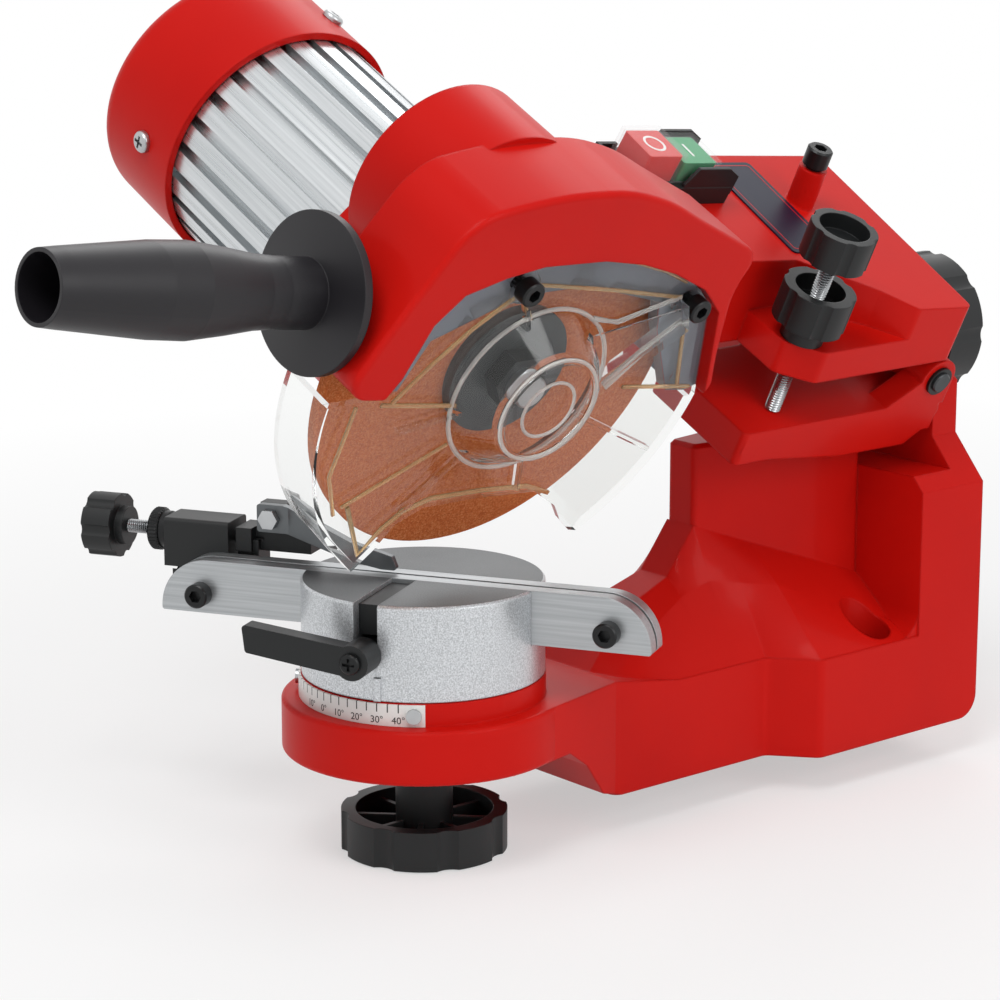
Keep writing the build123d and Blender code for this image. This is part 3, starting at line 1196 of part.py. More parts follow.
def depth_knob():
    """Cup knob on top of the depth rod."""
    knob = prism_z(lobed_face(DEPTH_KNOB_RADIUS, 6, 0.9), DEPTH_KNOB_LOW, DEPTH_KNOB_TOP)
    knob = Pos(DEPTH_X, DEPTH_Y) * knob
    knob -= cylinder_z(DEPTH_KNOB_RADIUS - 3, DEPTH_KNOB_TOP - 6, DEPTH_KNOB_TOP + 1, DEPTH_X, DEPTH_Y)
    return knob - cylinder_z(DEPTH_SCREW_RADIUS + RUN, 0, DEPTH_KNOB_TOP - 6 + 0.1, DEPTH_X, DEPTH_Y)


def depth_lock_knob():
    """Lock nut knob on the ear, cupped, with a collar below."""
    low = EAR_TOP + GAP
    knob = Pos(DEPTH_X, DEPTH_Y) * prism_z(lobed_face(DEPTH_KNOB_RADIUS + 1.0, 6, 0.9), 5, DEPTH_NUT_TOP)
    knob -= cylinder_z(DEPTH_KNOB_RADIUS - 3, DEPTH_NUT_TOP - 7, DEPTH_NUT_TOP + 1, DEPTH_X, DEPTH_Y)
    knob += cylinder_z(8, low, 6, DEPTH_X, DEPTH_Y)
    return knob - cylinder_z(DEPTH_SCREW_RADIUS + RUN, low - 1, DEPTH_NUT_TOP, DEPTH_X, DEPTH_Y)


# ================================================================ write every piece
STAND_NODES = {
    "stand_casting": stand_casting,
    "scale_plate": scale_plate,
    "scale_screws": scale_screws,
}
SWIVEL_NODES = {
    "vise_lock_knob": vise_lock_knob,
    "vise_lock_nut": vise_lock_nut,
}
VISE_NODES = {
    "vise_body": vise_body,
    "vise_swivel_stud": vise_swivel_stud,
    "rail_front": lambda: rail(-1),
    "rail_rear": lambda: rail(1),
    "rail_screws": rail_screws,
    "rail_spacers": rail_spacers,
    "clamp_plunger": clamp_plunger,
    "clamp_shaft": clamp_shaft,
    "clamp_lever": clamp_lever,
    "lever_screw": lever_screw,
    "stop_holder": stop_holder,
    "stop_slider": stop_slider,
    "stop_rod": stop_rod,
    "stop_knob": stop_knob,
    "stop_lock_nut": stop_lock_nut,
    "stop_pawl": stop_pawl,
    "pawl_bolt": pawl_bolt,
}
HEAD_NODES = {
    "tilt_bracket": tilt_bracket,
    "tilt_stud": tilt_stud,
    "hinge_pin": hinge_pin,
    "hinge_rings": hinge_rings,
    "lift_spring": lift_spring,
    "tilt_washer": tilt_washer,
    "tilt_knob": tilt_knob,
    "tilt_nut": tilt_nut,
    "head_casting": head_casting,
    "guard": guard,
    "guard_screws": guard_screws,
    "grinding_disc": grinding_disc,
    "inner_flange": inner_flange,
    "outer_flange": outer_flange,
    "flange_nut": flange_nut,
    "motor_shaft": motor_shaft,
    "rotor_core": rotor_core,
    "cooling_fan": cooling_fan,
    "stator_core": stator_core,
    "stator_windings": stator_windings,
    "front_bearing": lambda: bearing(FRONT_BEARING, BEARING_RADIUS),
    "rear_bearing": lambda: bearing(REAR_BEARING, BEARING_RADIUS),
    "motor_housing": motor_housing,
    "motor_shield": motor_shield,
    "motor_end_cap": motor_end_cap,
    "end_cap_screws": end_cap_screws,
    "cable_gland": cable_gland,
    "handle_stud": handle_stud,
    "handle_grip": handle_grip,
    "switch_frame": switch_frame,
    "stop_button": stop_button,
    "start_button": start_button,
    "switch_cover": switch_cover,
    "head_stop_screw": head_stop_screw,
    "label_plate": label_plate,
    "depth_rod": depth_rod,
    "depth_knob": depth_knob,
    "depth_lock_knob": depth_lock_knob,
}


def main():
    """Build every piece in its own frame, place it and write it to its own file."""
    os.makedirs("parts", exist_ok=True)
    groups = (
        (Location(), STAND_NODES),
        (Pos(0, VISE_Y, 0), SWIVEL_NODES),
        (VISE_FRAME, VISE_NODES),
        (HEAD_FRAME, HEAD_NODES),
    )
    for frame, nodes in groups:
        for name, build in nodes.items():
            export_step(frame * build(), f"parts/{name}.step")


main()
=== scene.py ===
import logging
import math
from dataclasses import dataclass
from enum import Enum
from typing import Callable

import bpy
from mathutils import Matrix, Vector


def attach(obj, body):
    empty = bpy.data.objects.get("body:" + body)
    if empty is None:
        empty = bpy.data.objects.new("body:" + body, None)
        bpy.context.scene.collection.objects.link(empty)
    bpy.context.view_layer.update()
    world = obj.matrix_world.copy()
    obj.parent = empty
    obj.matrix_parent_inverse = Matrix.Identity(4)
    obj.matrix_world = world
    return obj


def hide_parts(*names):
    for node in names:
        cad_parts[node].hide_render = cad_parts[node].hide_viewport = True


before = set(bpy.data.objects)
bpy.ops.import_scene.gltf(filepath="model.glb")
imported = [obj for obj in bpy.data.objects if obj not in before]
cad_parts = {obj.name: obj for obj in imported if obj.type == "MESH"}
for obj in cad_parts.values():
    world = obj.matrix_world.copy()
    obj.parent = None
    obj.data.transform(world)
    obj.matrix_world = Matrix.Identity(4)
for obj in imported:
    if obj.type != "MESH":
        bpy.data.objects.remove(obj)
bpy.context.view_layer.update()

log = logging.getLogger("sharpener")

# ------------------------------------------------------- sizes that sub-assemblies share, in metres
MM = 0.001
HEAD_TILT = math.radians(26.0)
VISE_TURN = math.radians(30.0)
DISC_Y = -0.1773
VISE_Y = -0.1797
VISE_TOP = 0.083
TILT_AXIS = 0.143
DISC_OFFSET = (0.0241, 0.0, 0.0342)
HEAD = (
    Matrix.Translation((0, DISC_Y, TILT_AXIS))
    @ Matrix.Rotation(HEAD_TILT, 4, "Y")
    @ Matrix.Translation(DISC_OFFSET)
)
VISE = Matrix.Translation((0, VISE_Y, VISE_TOP)) @ Matrix.Rotation(VISE_TURN, 4, "Z")

# ------------------------------------------------------- the arm's top in the head's axes, in millimetres
ARM_SLOPE = (-0.08, -0.097)
ARM_CORNER = (22.0, 206.4, 8.2)


def on_arm(x: float, y: float, lift: float) -> Matrix:
    """Place square to the arm's sloping top.

    Args:
        x: Along the shaft, in millimetres from the disc's centre.
        y: Toward the hinge, in millimetres from the disc's centre.
        lift: Height above the arm's top, in millimetres.

    Returns:
        The placement in the model's frame.
    """
    slope_x, slope_y = ARM_SLOPE
    height = ARM_CORNER[2] + slope_x * (x - ARM_CORNER[0]) + slope_y * (y - ARM_CORNER[1])
    up = Vector((-slope_x, -slope_y, 1)).normalized()
    side = Vector((1, 0, slope_x)).normalized()
    turn = Matrix((side, up.cross(side), up)).transposed().to_4x4()
    spot = Matrix.Translation((x * MM, y * MM, height * MM))
    return HEAD @ spot @ turn @ Matrix.Translation((0, 0, lift * MM))


# ------------------------------------------------------------------ materials
def linear(hex_colour: str) -> tuple[float, float, float, float]:
    """Turn an sRGB hex colour into the linear RGBA that Blender's sockets take.

    Args:
        hex_colour: Six hex digits, with or without a leading #.

    Returns:
        Linear red, green and blue, with an alpha of 1.
    """
    digits = hex_colour.lstrip("#")
    parts = [int(digits[i : i + 2], 16) / 255 for i in (0, 2, 4)]
    curve = [c / 12.92 if c <= 0.04045 else ((c + 0.055) / 1.055) ** 2.4 for c in parts]
    return (*curve, 1.0)


def per_mm(size: float) -> float:
    """Texture scale that makes one pattern repeat this many millimetres."""
    return 1000.0 / size


def add_node(tree: bpy.types.NodeTree, kind: str, settings: dict | None = None, links: dict | None = None):
    """Add one shader node with its settings and links.

    Args:
        tree: The node tree that gets the node.
        kind: Blender's type name, such as ShaderNodeTexNoise.
        settings: Node properties, and values for inputs by name or number.
        links: Output sockets that feed this node's inputs, by input name or number.

    Returns:
        The new node.
    """
    node = tree.nodes.new(kind)
    for key, value in (settings or {}).items():
        if isinstance(key, int) or key in node.inputs:
            node.inputs[key].default_value = value
        else:
            setattr(node, key, value)
    for key, socket in (links or {}).items():
        tree.links.new(socket, node.inputs[key])
    return node


def ramp(tree: bpy.types.NodeTree, value: bpy.types.NodeSocket, stops: list[tuple[float, str]]):
    """Colour a value by stops.

    Args:
        tree: The node tree.
        value: The socket that drives the ramp.
        stops: Position and hex colour of each stop, in order.

    Returns:
        The ramp's colour output.
    """
    node = add_node(tree, "ShaderNodeValToRGB", links={"Fac": value})
    elements = node.color_ramp.elements
    while len(elements) < len(stops):
        elements.new(0.5)
    for element, (position, colour) in zip(elements, stops):
        element.position = position
        element.color = linear(colour)
    return node.outputs["Color"]


def head_place(tree: bpy.types.NodeTree, place: bpy.types.NodeSocket) -> bpy.types.NodeSocket:
    """Turn Object coordinates into the tilted head's own axes, about the disc's centre."""
    centred = add_node(tree, "ShaderNodeMapping", {"Location": (0, -DISC_Y, -TILT_AXIS)}, {"Vector": place})
    return add_node(
        tree,
        "ShaderNodeMapping",
        {"Rotation": (0, -HEAD_TILT, 0), "Location": tuple(-v for v in DISC_OFFSET)},
        {"Vector": centred.outputs["Vector"]},
    ).outputs["Vector"]


@dataclass(frozen=True)
class Finish:
    """A real surface: what it is made of and how its surface was made."""

    name: str
    colour: str
    roughness: float
    metallic: float = 0.0
    ior: float = 1.5
    specular: float = 0.5
    coat: float = 0.0
    coat_roughness: float = 0.05
    transmission: float = 0.0
    alpha: float = 1.0

    def material(self) -> bpy.types.Material:
        """Build the material once, and return the same one after that."""
        made = bpy.data.materials.get(self.name)
        if made:
            return made
        made = bpy.data.materials.new(self.name)
        made.use_nodes = True
        tree = made.node_tree
        shader = tree.nodes["Principled BSDF"]
        shader.inputs["Base Color"].default_value = linear(self.colour)
        shader.inputs["Roughness"].default_value = self.roughness
        shader.inputs["Metallic"].default_value = self.metallic
        shader.inputs["IOR"].default_value = self.ior
        shader.inputs["Specular IOR Level"].default_value = self.specular
        shader.inputs["Coat Weight"].default_value = self.coat
        shader.inputs["Coat Roughness"].default_value = self.coat_roughness
        shader.inputs["Transmission Weight"].default_value = self.transmission
        shader.inputs["Alpha"].default_value = self.alpha
        place = add_node(tree, "ShaderNodeTexCoord").outputs["Object"]
        self.pattern(tree, shader, place)
        return made

    def pattern(self, tree: bpy.types.NodeTree, shader: bpy.types.Node, place: bpy.types.NodeSocket) -> None:
        """Add what the plain values can't give. The plain finish adds nothing."""


@dataclass(frozen=True)
class Grained(Finish):
    """A finish with an even fine grain: cast, sprayed, moulded or blasted."""

    grain_mm: float = 0.6
    grain_depth_mm: float = 0.02
    blotch_mm: float = 25.0
    blotch_colour: str = ""
    blotch_share: float = 0.5
    rough_spread: float = 0.06
    edge_mm: float = 0.0

    def pattern(self, tree: bpy.types.NodeTree, shader: bpy.types.Node, place: bpy.types.NodeSocket) -> None:
        """Grain in the bump, slow drift in the colour and the roughness, soft edges."""
        grain = add_node(
            tree, "ShaderNodeTexNoise", {"Scale": per_mm(self.grain_mm), "Detail": 2.0}, {"Vector": place}
        )
        drift = add_node(
            tree, "ShaderNodeTexNoise", {"Scale": per_mm(self.blotch_mm), "Detail": 3.0}, {"Vector": place}
        )
        spread = add_node(
            tree,
            "ShaderNodeMapRange",
            {"To Min": self.roughness - self.rough_spread, "To Max": self.roughness + self.rough_spread},
            {"Value": drift.outputs["Fac"]},
        )
        tree.links.new(spread.outputs["Result"], shader.inputs["Roughness"])
        colour = self.tone(tree, grain.outputs["Fac"], drift.outputs["Fac"], place)
        if colour:
            tree.links.new(colour, shader.inputs["Base Color"])
        bump = add_node(
            tree,
            "ShaderNodeBump",
            {"Strength": 0.6, "Distance": self.grain_depth_mm * MM},
            {"Height": grain.outputs["Fac"]},
        )
        if self.edge_mm:
            edge = add_node(tree, "ShaderNodeBevel", {"samples": 4, "Radius": self.edge_mm * MM})
            tree.links.new(edge.outputs["Normal"], bump.inputs["Normal"])
        tree.links.new(bump.outputs["Normal"], shader.inputs["Normal"])

    def tone(
        self,
        tree: bpy.types.NodeTree,
        grain: bpy.types.NodeSocket,
        drift: bpy.types.NodeSocket,
        place: bpy.types.NodeSocket,
    ) -> bpy.types.NodeSocket | None:
        """Colour of the surface.

        Args:
            tree: The node tree.
            grain: The fine noise.
            drift: The slow noise.
            place: Object coordinates.

        Returns:
            A colour socket, or None where the plain colour is enough.
        """
        if not self.blotch_colour:
            return None
        low = 0.5 - self.blotch_share / 2
        return ramp(tree, drift, [(low, self.blotch_colour), (1 - low, self.colour)])


@dataclass(frozen=True)
class CoverPaint(Grained):
    """Gloss paint outside, and bare grey primer in the wheel cover's hollow and on the guard's seat."""

    primer: str = "858A93"
    hollow_radius: float = 76.0 * MM
    hollow_back: float = -10.3 * MM
    hollow_front: float = 13.8 * MM
    seat: float = 14.0 * MM
    seat_slack: float = 0.15 * MM

    def tone(
        self,
        tree: bpy.types.NodeTree,
        grain: bpy.types.NodeSocket,
        drift: bpy.types.NodeSocket,
        place: bpy.types.NodeSocket,
    ) -> bpy.types.NodeSocket | None:
        """Primer inside the hollow and on the flat that the guard lies on, paint elsewhere."""
        paint = super().tone(tree, grain, drift, place)
        axes = add_node(tree, "ShaderNodeSeparateXYZ", links={"Vector": head_place(tree, place)})
        across = add_node(
            tree, "ShaderNodeCombineXYZ", links={"Y": axes.outputs["Y"], "Z": axes.outputs["Z"]}
        )
        reach = add_node(
            tree, "ShaderNodeVectorMath", {"operation": "LENGTH"}, {0: across.outputs["Vector"]}
        )
        inside = add_node(
            tree,
            "ShaderNodeMath",
            {"operation": "LESS_THAN", 1: self.hollow_radius},
            {0: reach.outputs["Value"]},
        )
        middle = (self.hollow_front + self.hollow_back) / 2
        half = (self.hollow_front - self.hollow_back) / 2
        deep = add_node(
            tree, "ShaderNodeMath", {"operation": "COMPARE", 1: middle, 2: half}, {0: axes.outputs["X"]}
        )
        within = add_node(
            tree, "ShaderNodeMath", {"operation": "MULTIPLY"}, {0: inside.outputs[0], 1: deep.outputs[0]}
        )
        facing = add_node(
            tree,
            "ShaderNodeVectorMath",
            {"operation": "DOT_PRODUCT", 1: (math.cos(HEAD_TILT), 0, -math.sin(HEAD_TILT))},
            {0: add_node(tree, "ShaderNodeTexCoord").outputs["Normal"]},
        )
        flat = add_node(
            tree, "ShaderNodeMath", {"operation": "GREATER_THAN", 1: 0.9}, {0: facing.outputs["Value"]}
        )
        level = add_node(
            tree,
            "ShaderNodeMath",
            {"operation": "COMPARE", 1: self.seat, 2: self.seat_slack},
            {0: axes.outputs["X"]},
        )
        seated = add_node(
            tree, "ShaderNodeMath", {"operation": "MULTIPLY"}, {0: flat.outputs[0], 1: level.outputs[0]}
        )
        either = add_node(
            tree, "ShaderNodeMath", {"operation": "MAXIMUM"}, {0: within.outputs[0], 1: seated.outputs[0]}
        )
        mix = add_node(
            tree,
            "ShaderNodeMix",
            {"data_type": "RGBA", 7: linear(self.primer)},
            {0: either.outputs[0], 6: paint},
        )
        return mix.outputs[2]


@dataclass(frozen=True)
class Speckled(Grained):
    """Sprayed metal lacquer whose flakes catch the light as fine grains, with a painted dark reflection on
    the flat top.
    """

    flake_dark: str = "B2B5B8"
    flake_light: str = "E0E3E6"
    # Painted reflection: the colour that up-facing faces are multiplied by, standing in for the dark
    # reflection on the flat top.
    top_painted_reflection: str = "6E6F6F"

    def tone(
        self,
        tree: bpy.types.NodeTree,
        grain: bpy.types.NodeSocket,
        drift: bpy.types.NodeSocket,
        place: bpy.types.NodeSocket,
    ) -> bpy.types.NodeSocket | None:
        """Fine grain in three greys, with a painted dark reflection where the surface faces up."""
        flakes = ramp(tree, grain, [(0.34, self.flake_dark), (0.5, self.colour), (0.66, self.flake_light)])
        # Painted reflection: faces that point up are darkened to stand in for the reflection on the vise's
        # flat top.
        normal = add_node(tree, "ShaderNodeTexCoord").outputs["Normal"]
        axes = add_node(tree, "ShaderNodeSeparateXYZ", links={"Vector": normal})
        top = add_node(tree, "ShaderNodeMath", {"operation": "GREATER_THAN", 1: 0.9}, {0: axes.outputs["Z"]})
        mix = add_node(
            tree,
            "ShaderNodeMix",
            {"data_type": "RGBA", "blend_type": "MULTIPLY", 7: linear(self.top_painted_reflection)},
            {0: top.outputs[0], 6: flakes},
        )
        return mix.outputs[2]


@dataclass(frozen=True)
class Drawn(Finish):
    """Metal with fine straight lines along its length: drawn, extruded or ground."""

    along: str = "vise"
    line_mm: float = 0.7
    stretch: float = 60.0
    dark: str = "9EA1A3"
    edge_mm: float = 0.3

    def pattern(self, tree: bpy.types.NodeTree, shader: bpy.types.Node, place: bpy.types.NodeSocket) -> None:
        """Noise stretched along the piece, in the colour, the roughness and the bump."""
        if self.along == "head":
            turned = head_place(tree, place)
        else:
            turned = add_node(
                tree, "ShaderNodeMapping", {"Rotation": (0, 0, -VISE_TURN)}, {"Vector": place}
            ).outputs["Vector"]
        squeezed = add_node(
            tree, "ShaderNodeMapping", {"Scale": (1 / self.stretch, 1, 1)}, {"Vector": turned}
        )
        lines = add_node(
            tree,
            "ShaderNodeTexNoise",
            {"Scale": per_mm(self.line_mm), "Detail": 3.0},
            {"Vector": squeezed.outputs["Vector"]},
        )
        colour = ramp(tree, lines.outputs["Fac"], [(0.3, self.dark), (0.7, self.colour)])
        tree.links.new(colour, shader.inputs["Base Color"])
        spread = add_node(
            tree,
            "ShaderNodeMapRange",
            {"To Min": self.roughness - 0.08, "To Max": self.roughness + 0.1},
            {"Value": lines.outputs["Fac"]},
        )
        tree.links.new(spread.outputs["Result"], shader.inputs["Roughness"])
        edge = add_node(tree, "ShaderNodeBevel", {"samples": 4, "Radius": self.edge_mm * MM})
        bump = add_node(
            tree,
            "ShaderNodeBump",
            {"Strength": 0.5, "Distance": 0.02 * MM},
            {"Height": lines.outputs["Fac"], "Normal": edge.outputs["Normal"]},
        )
        tree.links.new(bump.outputs["Normal"], shader.inputs["Normal"])


@dataclass(frozen=True)
class Abrasive(Finish):
    """Bonded grit: coloured grains of close tones in a rough face."""

    grit_mm: float = 0.6
    pit_mm: float = 0.08
    dark: str = "A85224"
    light: str = "C97B4A"

    def pattern(self, tree: bpy.types.NodeTree, shader: bpy.types.Node, place: bpy.types.NodeSocket) -> None:
        """One tone for each grain, and a pitted surface."""
        cells = add_node(tree, "ShaderNodeTexVoronoi", {"Scale": per_mm(self.grit_mm)}, {"Vector": place})
        tone = add_node(tree, "ShaderNodeSeparateColor", links={"Color": cells.outputs["Color"]})
        colour = ramp(tree, tone.outputs[0], [(0.0, self.dark), (0.45, self.colour), (1.0, self.light)])
        tree.links.new(colour, shader.inputs["Base Color"])
        bump = add_node(
            tree,
            "ShaderNodeBump",
            {"Strength": 0.5, "Distance": self.pit_mm * MM},
            {"Height": cells.outputs["Distance"]},
        )
        tree.links.new(bump.outputs["Normal"], shader.inputs["Normal"])


@dataclass(frozen=True)
class ScalePrint(Finish):
    """White enamelled strip with black tick marks at every five degrees."""

    ink: str = "1A1A1A"
    step_degrees: float = 5.0
    line_degrees: float = 0.55
    tick_level: float = 46.8 * MM
    sector_degrees: tuple[float, float] = (-2.5, 43.5)

    def pattern(self, tree: bpy.types.NodeTree, shader: bpy.types.Node, place: bpy.types.NodeSocket) -> None:
        """Ticks by angle about the vise axis, on the upper part of the strip only."""
        centred = add_node(tree, "ShaderNodeMapping", {"Location": (0, -VISE_Y, 0)}, {"Vector": place})
        axes = add_node(tree, "ShaderNodeSeparateXYZ", links={"Vector": centred.outputs["Vector"]})
        flipped = add_node(tree, "ShaderNodeMath", {"operation": "MULTIPLY", 1: -1.0}, {0: axes.outputs["Y"]})
        angle = add_node(
            tree, "ShaderNodeMath", {"operation": "ARCTAN2"}, {0: axes.outputs["X"], 1: flipped.outputs[0]}
        )
        steps = add_node(
            tree,
            "ShaderNodeMath",
            {"operation": "MULTIPLY_ADD", 1: 180 / math.pi / self.step_degrees, 2: 100.5},
            {0: angle.outputs[0]},
        )
        part = add_node(tree, "ShaderNodeMath", {"operation": "FRACT"}, {0: steps.outputs[0]})
        half = self.line_degrees / self.step_degrees / 2
        line = add_node(
            tree, "ShaderNodeMath", {"operation": "COMPARE", 1: 0.5, 2: half}, {0: part.outputs[0]}
        )
        high = add_node(
            tree, "ShaderNodeMath", {"operation": "GREATER_THAN", 1: self.tick_level}, {0: axes.outputs["Z"]}
        )
        middle, reach = (math.radians(v) for v in self.sector_degrees)
        sector = add_node(
            tree, "ShaderNodeMath", {"operation": "COMPARE", 1: middle, 2: reach}, {0: angle.outputs[0]}
        )
        both = add_node(
            tree, "ShaderNodeMath", {"operation": "MULTIPLY"}, {0: line.outputs[0], 1: high.outputs[0]}
        )
        mark = add_node(
            tree, "ShaderNodeMath", {"operation": "MULTIPLY"}, {0: both.outputs[0], 1: sector.outputs[0]}
        )
        colour = ramp(tree, mark.outputs[0], [(0.0, self.colour), (1.0, self.ink)])
        tree.links.new(colour, shader.inputs["Base Color"])


class Finishes(Enum):
    """Every finish on the machine."""

    # Gloss stove enamel on cast metal: deep even red with a thin shine over a slightly wavy ground.
    RED_ENAMEL = Grained(
        "gloss_red_enamel", "CC170F", 0.38, specular=0.08, coat=0.04, coat_roughness=0.08, grain_mm=1.6,
        grain_depth_mm=0.02, blotch_mm=60, blotch_colour="C2120D", rough_spread=0.05, edge_mm=1.2,
    )
    # The same enamel on the head, whose wheel cover keeps its grey primer inside.
    HEAD_ENAMEL = CoverPaint(
        "gloss_red_enamel_over_primer", "CC170F", 0.38, specular=0.08, coat=0.04, coat_roughness=0.08,
        grain_mm=1.6, grain_depth_mm=0.02, blotch_mm=60, blotch_colour="C2120D", rough_spread=0.05,
        edge_mm=1.2,
    )
    # Silver hammer lacquer on a turned casting: a fine sandy sparkle, and a painted dark reflection on the
    # flat top.
    SILVER_HAMMER = Speckled(
        "silver_hammer_lacquer", "CACDD0", 0.36, metallic=0.75, grain_mm=0.5, grain_depth_mm=0.05,
        rough_spread=0.06, edge_mm=0.6,
    )
    # Ground steel plate, zinc plated: soft grey shine with faint lines along the rail.
    GROUND_STEEL = Drawn("ground_zinc_plated_steel", "B9BCBE", 0.36, metallic=0.9, line_mm=0.9, dark="A4A7A9")
    # Pressed spring steel, bright but darker than zinc.
    SPRING_STEEL = Grained(
        "tempered_spring_steel", "6B6E70", 0.34, metallic=0.9, grain_mm=0.8, grain_depth_mm=0.01,
        blotch_mm=10, blotch_colour="5C5F61", rough_spread=0.08, edge_mm=0.3,
    )
    # Rolled screw thread, zinc plated: grey flanks that catch the light at the crests.
    THREAD_STEEL = Grained(
        "rolled_zinc_thread", "A4A6A8", 0.26, metallic=1.0, grain_mm=0.8, grain_depth_mm=0.005,
        rough_spread=0.06,
    )
    # Turned mild steel, zinc plated: brighter and less even.
    ZINC_STEEL = Grained(
        "zinc_plated_steel", "BFC1C2", 0.32, metallic=1.0, grain_mm=0.8, grain_depth_mm=0.01, blotch_mm=12,
        blotch_colour="A9ABAD", rough_spread=0.08, edge_mm=0.25,
    )
    # Phosphated steel: dull dark grey, slightly oily.
    DARK_STEEL = Grained(
        "phosphated_steel", "4B4E50", 0.42, metallic=0.7, grain_mm=0.7, grain_depth_mm=0.01, blotch_mm=6,
        blotch_colour="3D4042", rough_spread=0.08, edge_mm=0.3,
    )
    # Blackened screw steel: oily dark surface.
    BLACK_OXIDE = Grained(
        "black_oxide_steel", "1B1C1D", 0.36, metallic=0.5, grain_mm=0.7, grain_depth_mm=0.01,
        rough_spread=0.08, edge_mm=0.25,
    )
    # Extruded aluminium, satin: bright, with faint draw lines along the fins.
    ALUMINIUM = Drawn(
        "extruded_aluminium", "D6D9DB", 0.28, metallic=0.9, along="head", line_mm=1.4, dark="BDC1C3",
    )
    # Glass-filled nylon, spark-eroded mould: matte black with a fine leathery grain.
    BLACK_NYLON = Grained(
        "black_moulded_nylon", "141617", 0.46, specular=0.4, grain_mm=0.5, grain_depth_mm=0.03, blotch_mm=18,
        blotch_colour="101213", rough_spread=0.07, edge_mm=0.5,
    )
    # Polypropylene grip, smooth moulded: dull satin black with a warm cast.
    BLACK_GRIP = Grained(
        "black_polypropylene", "1B191D", 0.42, specular=0.4, grain_mm=0.9, grain_depth_mm=0.015, blotch_mm=30,
        blotch_colour="171519", rough_spread=0.05, edge_mm=0.5,
    )
    # Clear polycarbonate, injection moulded: nearly colourless wall.
    CLEAR_GUARD = Finish("clear_polycarbonate", "F8F9F8", 0.02, ior=1.12, coat=0.5, transmission=1.0)
    # Its ribs and folded edges are clear too; their amber colour is a painted reflection of the orange disc.
    AMBER_EDGE = Finish("polycarbonate_rib_painted_reflection", "E6C593", 0.14, ior=1.25, coat=0.5, transmission=0.75)
    # Thicker ribs of the hub stay clear and milky.
    CLEAR_RIB = Finish("polycarbonate_hub_rib", "F1F0EC", 0.18, ior=1.25, coat=0.5, transmission=0.7)
    # Frosted polycarbonate cap: milky on top, lets the button's colour through.
    FROSTED_CAP = Finish("frosted_polycarbonate", "F4F5F6", 0.12, specular=0.4, alpha=0.07)
    # Resin-bonded ceramic grit: even orange brown, fine close grains.
    ABRASIVE = Abrasive("ceramic_abrasive", "BC602E", 0.85, specular=0.3, grit_mm=0.5)
    # Stacked core laminations: dull grey with cut edges.
    CORE_STEEL = Grained(
        "laminated_core_steel", "6C6E70", 0.5, metallic=0.9, grain_mm=0.6, grain_depth_mm=0.05,
    )
    # Enamelled winding wire under varnish: deep warm brown.
    COPPER = Grained("varnished_copper_wire", "9A4A22", 0.35, metallic=0.8, grain_mm=0.8, grain_depth_mm=0.15)
    # Stamped strip, stove enamelled and printed: satin white.
    SCALE_WHITE = ScalePrint("printed_white_enamel", "E9E9E6", 0.35)
    # Its printed digits: flat black.
    INK = Finish("black_printing_ink", "1A1A1A", 0.5)
    # Screen-printed vinyl label, left without any print: deep navy, satin.
    NAVY_LABEL = Grained("bare_navy_vinyl", "12142A", 0.42, specular=0.25, grain_mm=1.0, grain_depth_mm=0.005)
    # Thin printed border of the label.
    RED_LINE = Finish("red_border_ink", "B01722", 0.45, specular=0.3)
    # Injection-moulded ABS: even saturated colour with soft edges.
    RED_BUTTON = Grained(
        "red_button_abs", "D81C10", 0.3, specular=0.3, grain_mm=1.0, grain_depth_mm=0.004, edge_mm=0.4,
    )
    GREEN_BUTTON = Grained(
        "green_button_abs", "0E9A5C", 0.3, specular=0.3, grain_mm=1.0, grain_depth_mm=0.004, edge_mm=0.4,
    )
    # Pad-printed signs: flat white.
    WHITE_MARK = Finish("white_pad_print", "F4F4F2", 0.45)


# ------------------------------------------------------------------ modelling helpers
def dress(nodes: tuple[str, ...], finish: Finishes) -> None:
    """Give CAD nodes their finish through their objects' own material slots."""
    for node in nodes:
        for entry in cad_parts[node].material_slots:
            entry.link = "OBJECT"
            entry.material = finish.value.material()


def clear_selection() -> None:
    """Deselect every object."""
    bpy.ops.object.select_all(action="DESELECT")


def pick(piece: bpy.types.Object, test: Callable[[Vector], bool]) -> None:
    """Select the vertices that pass a test on their place, and stay in edit mode."""
    bpy.ops.object.mode_set(mode="OBJECT")
    mesh = piece.data
    for items in (mesh.polygons, mesh.edges):
        for item in items:
            item.select = False
    for vertex in mesh.vertices:
        vertex.select = test(vertex.co)
    bpy.ops.object.mode_set(mode="EDIT")
    bpy.ops.mesh.select_mode(type="VERT")


def apply_modifiers(piece: bpy.types.Object) -> None:
    """Apply every modifier of the piece."""
    bpy.context.view_layer.objects.active = piece
    for modifier in list(piece.modifiers):
        bpy.ops.object.modifier_apply(modifier=modifier.name)


def settle(
    piece: bpy.types.Object, name: str, body: str, finish: Finishes, place: Matrix
) -> bpy.types.Object:
    """Name and dress a finished piece, bake its place into its mesh and let it ride.

    Args:
        piece: The modelled object.
        name: The piece's name.
        body: The body that carries it.
        finish: Its finish.
        place: Where its own frame lies.

    Returns:
        The same object.
    """
    piece.name = name
    piece.data.name = name
    piece.data.transform(place @ piece.matrix_world)
    piece.matrix_world = Matrix.Identity(4)
    piece.data.materials.clear()
    piece.data.materials.append(finish.value.material())
    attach(piece, body)
    log.info("piece %s on %s, %d faces", name, body, len(piece.data.polygons))
    return piece


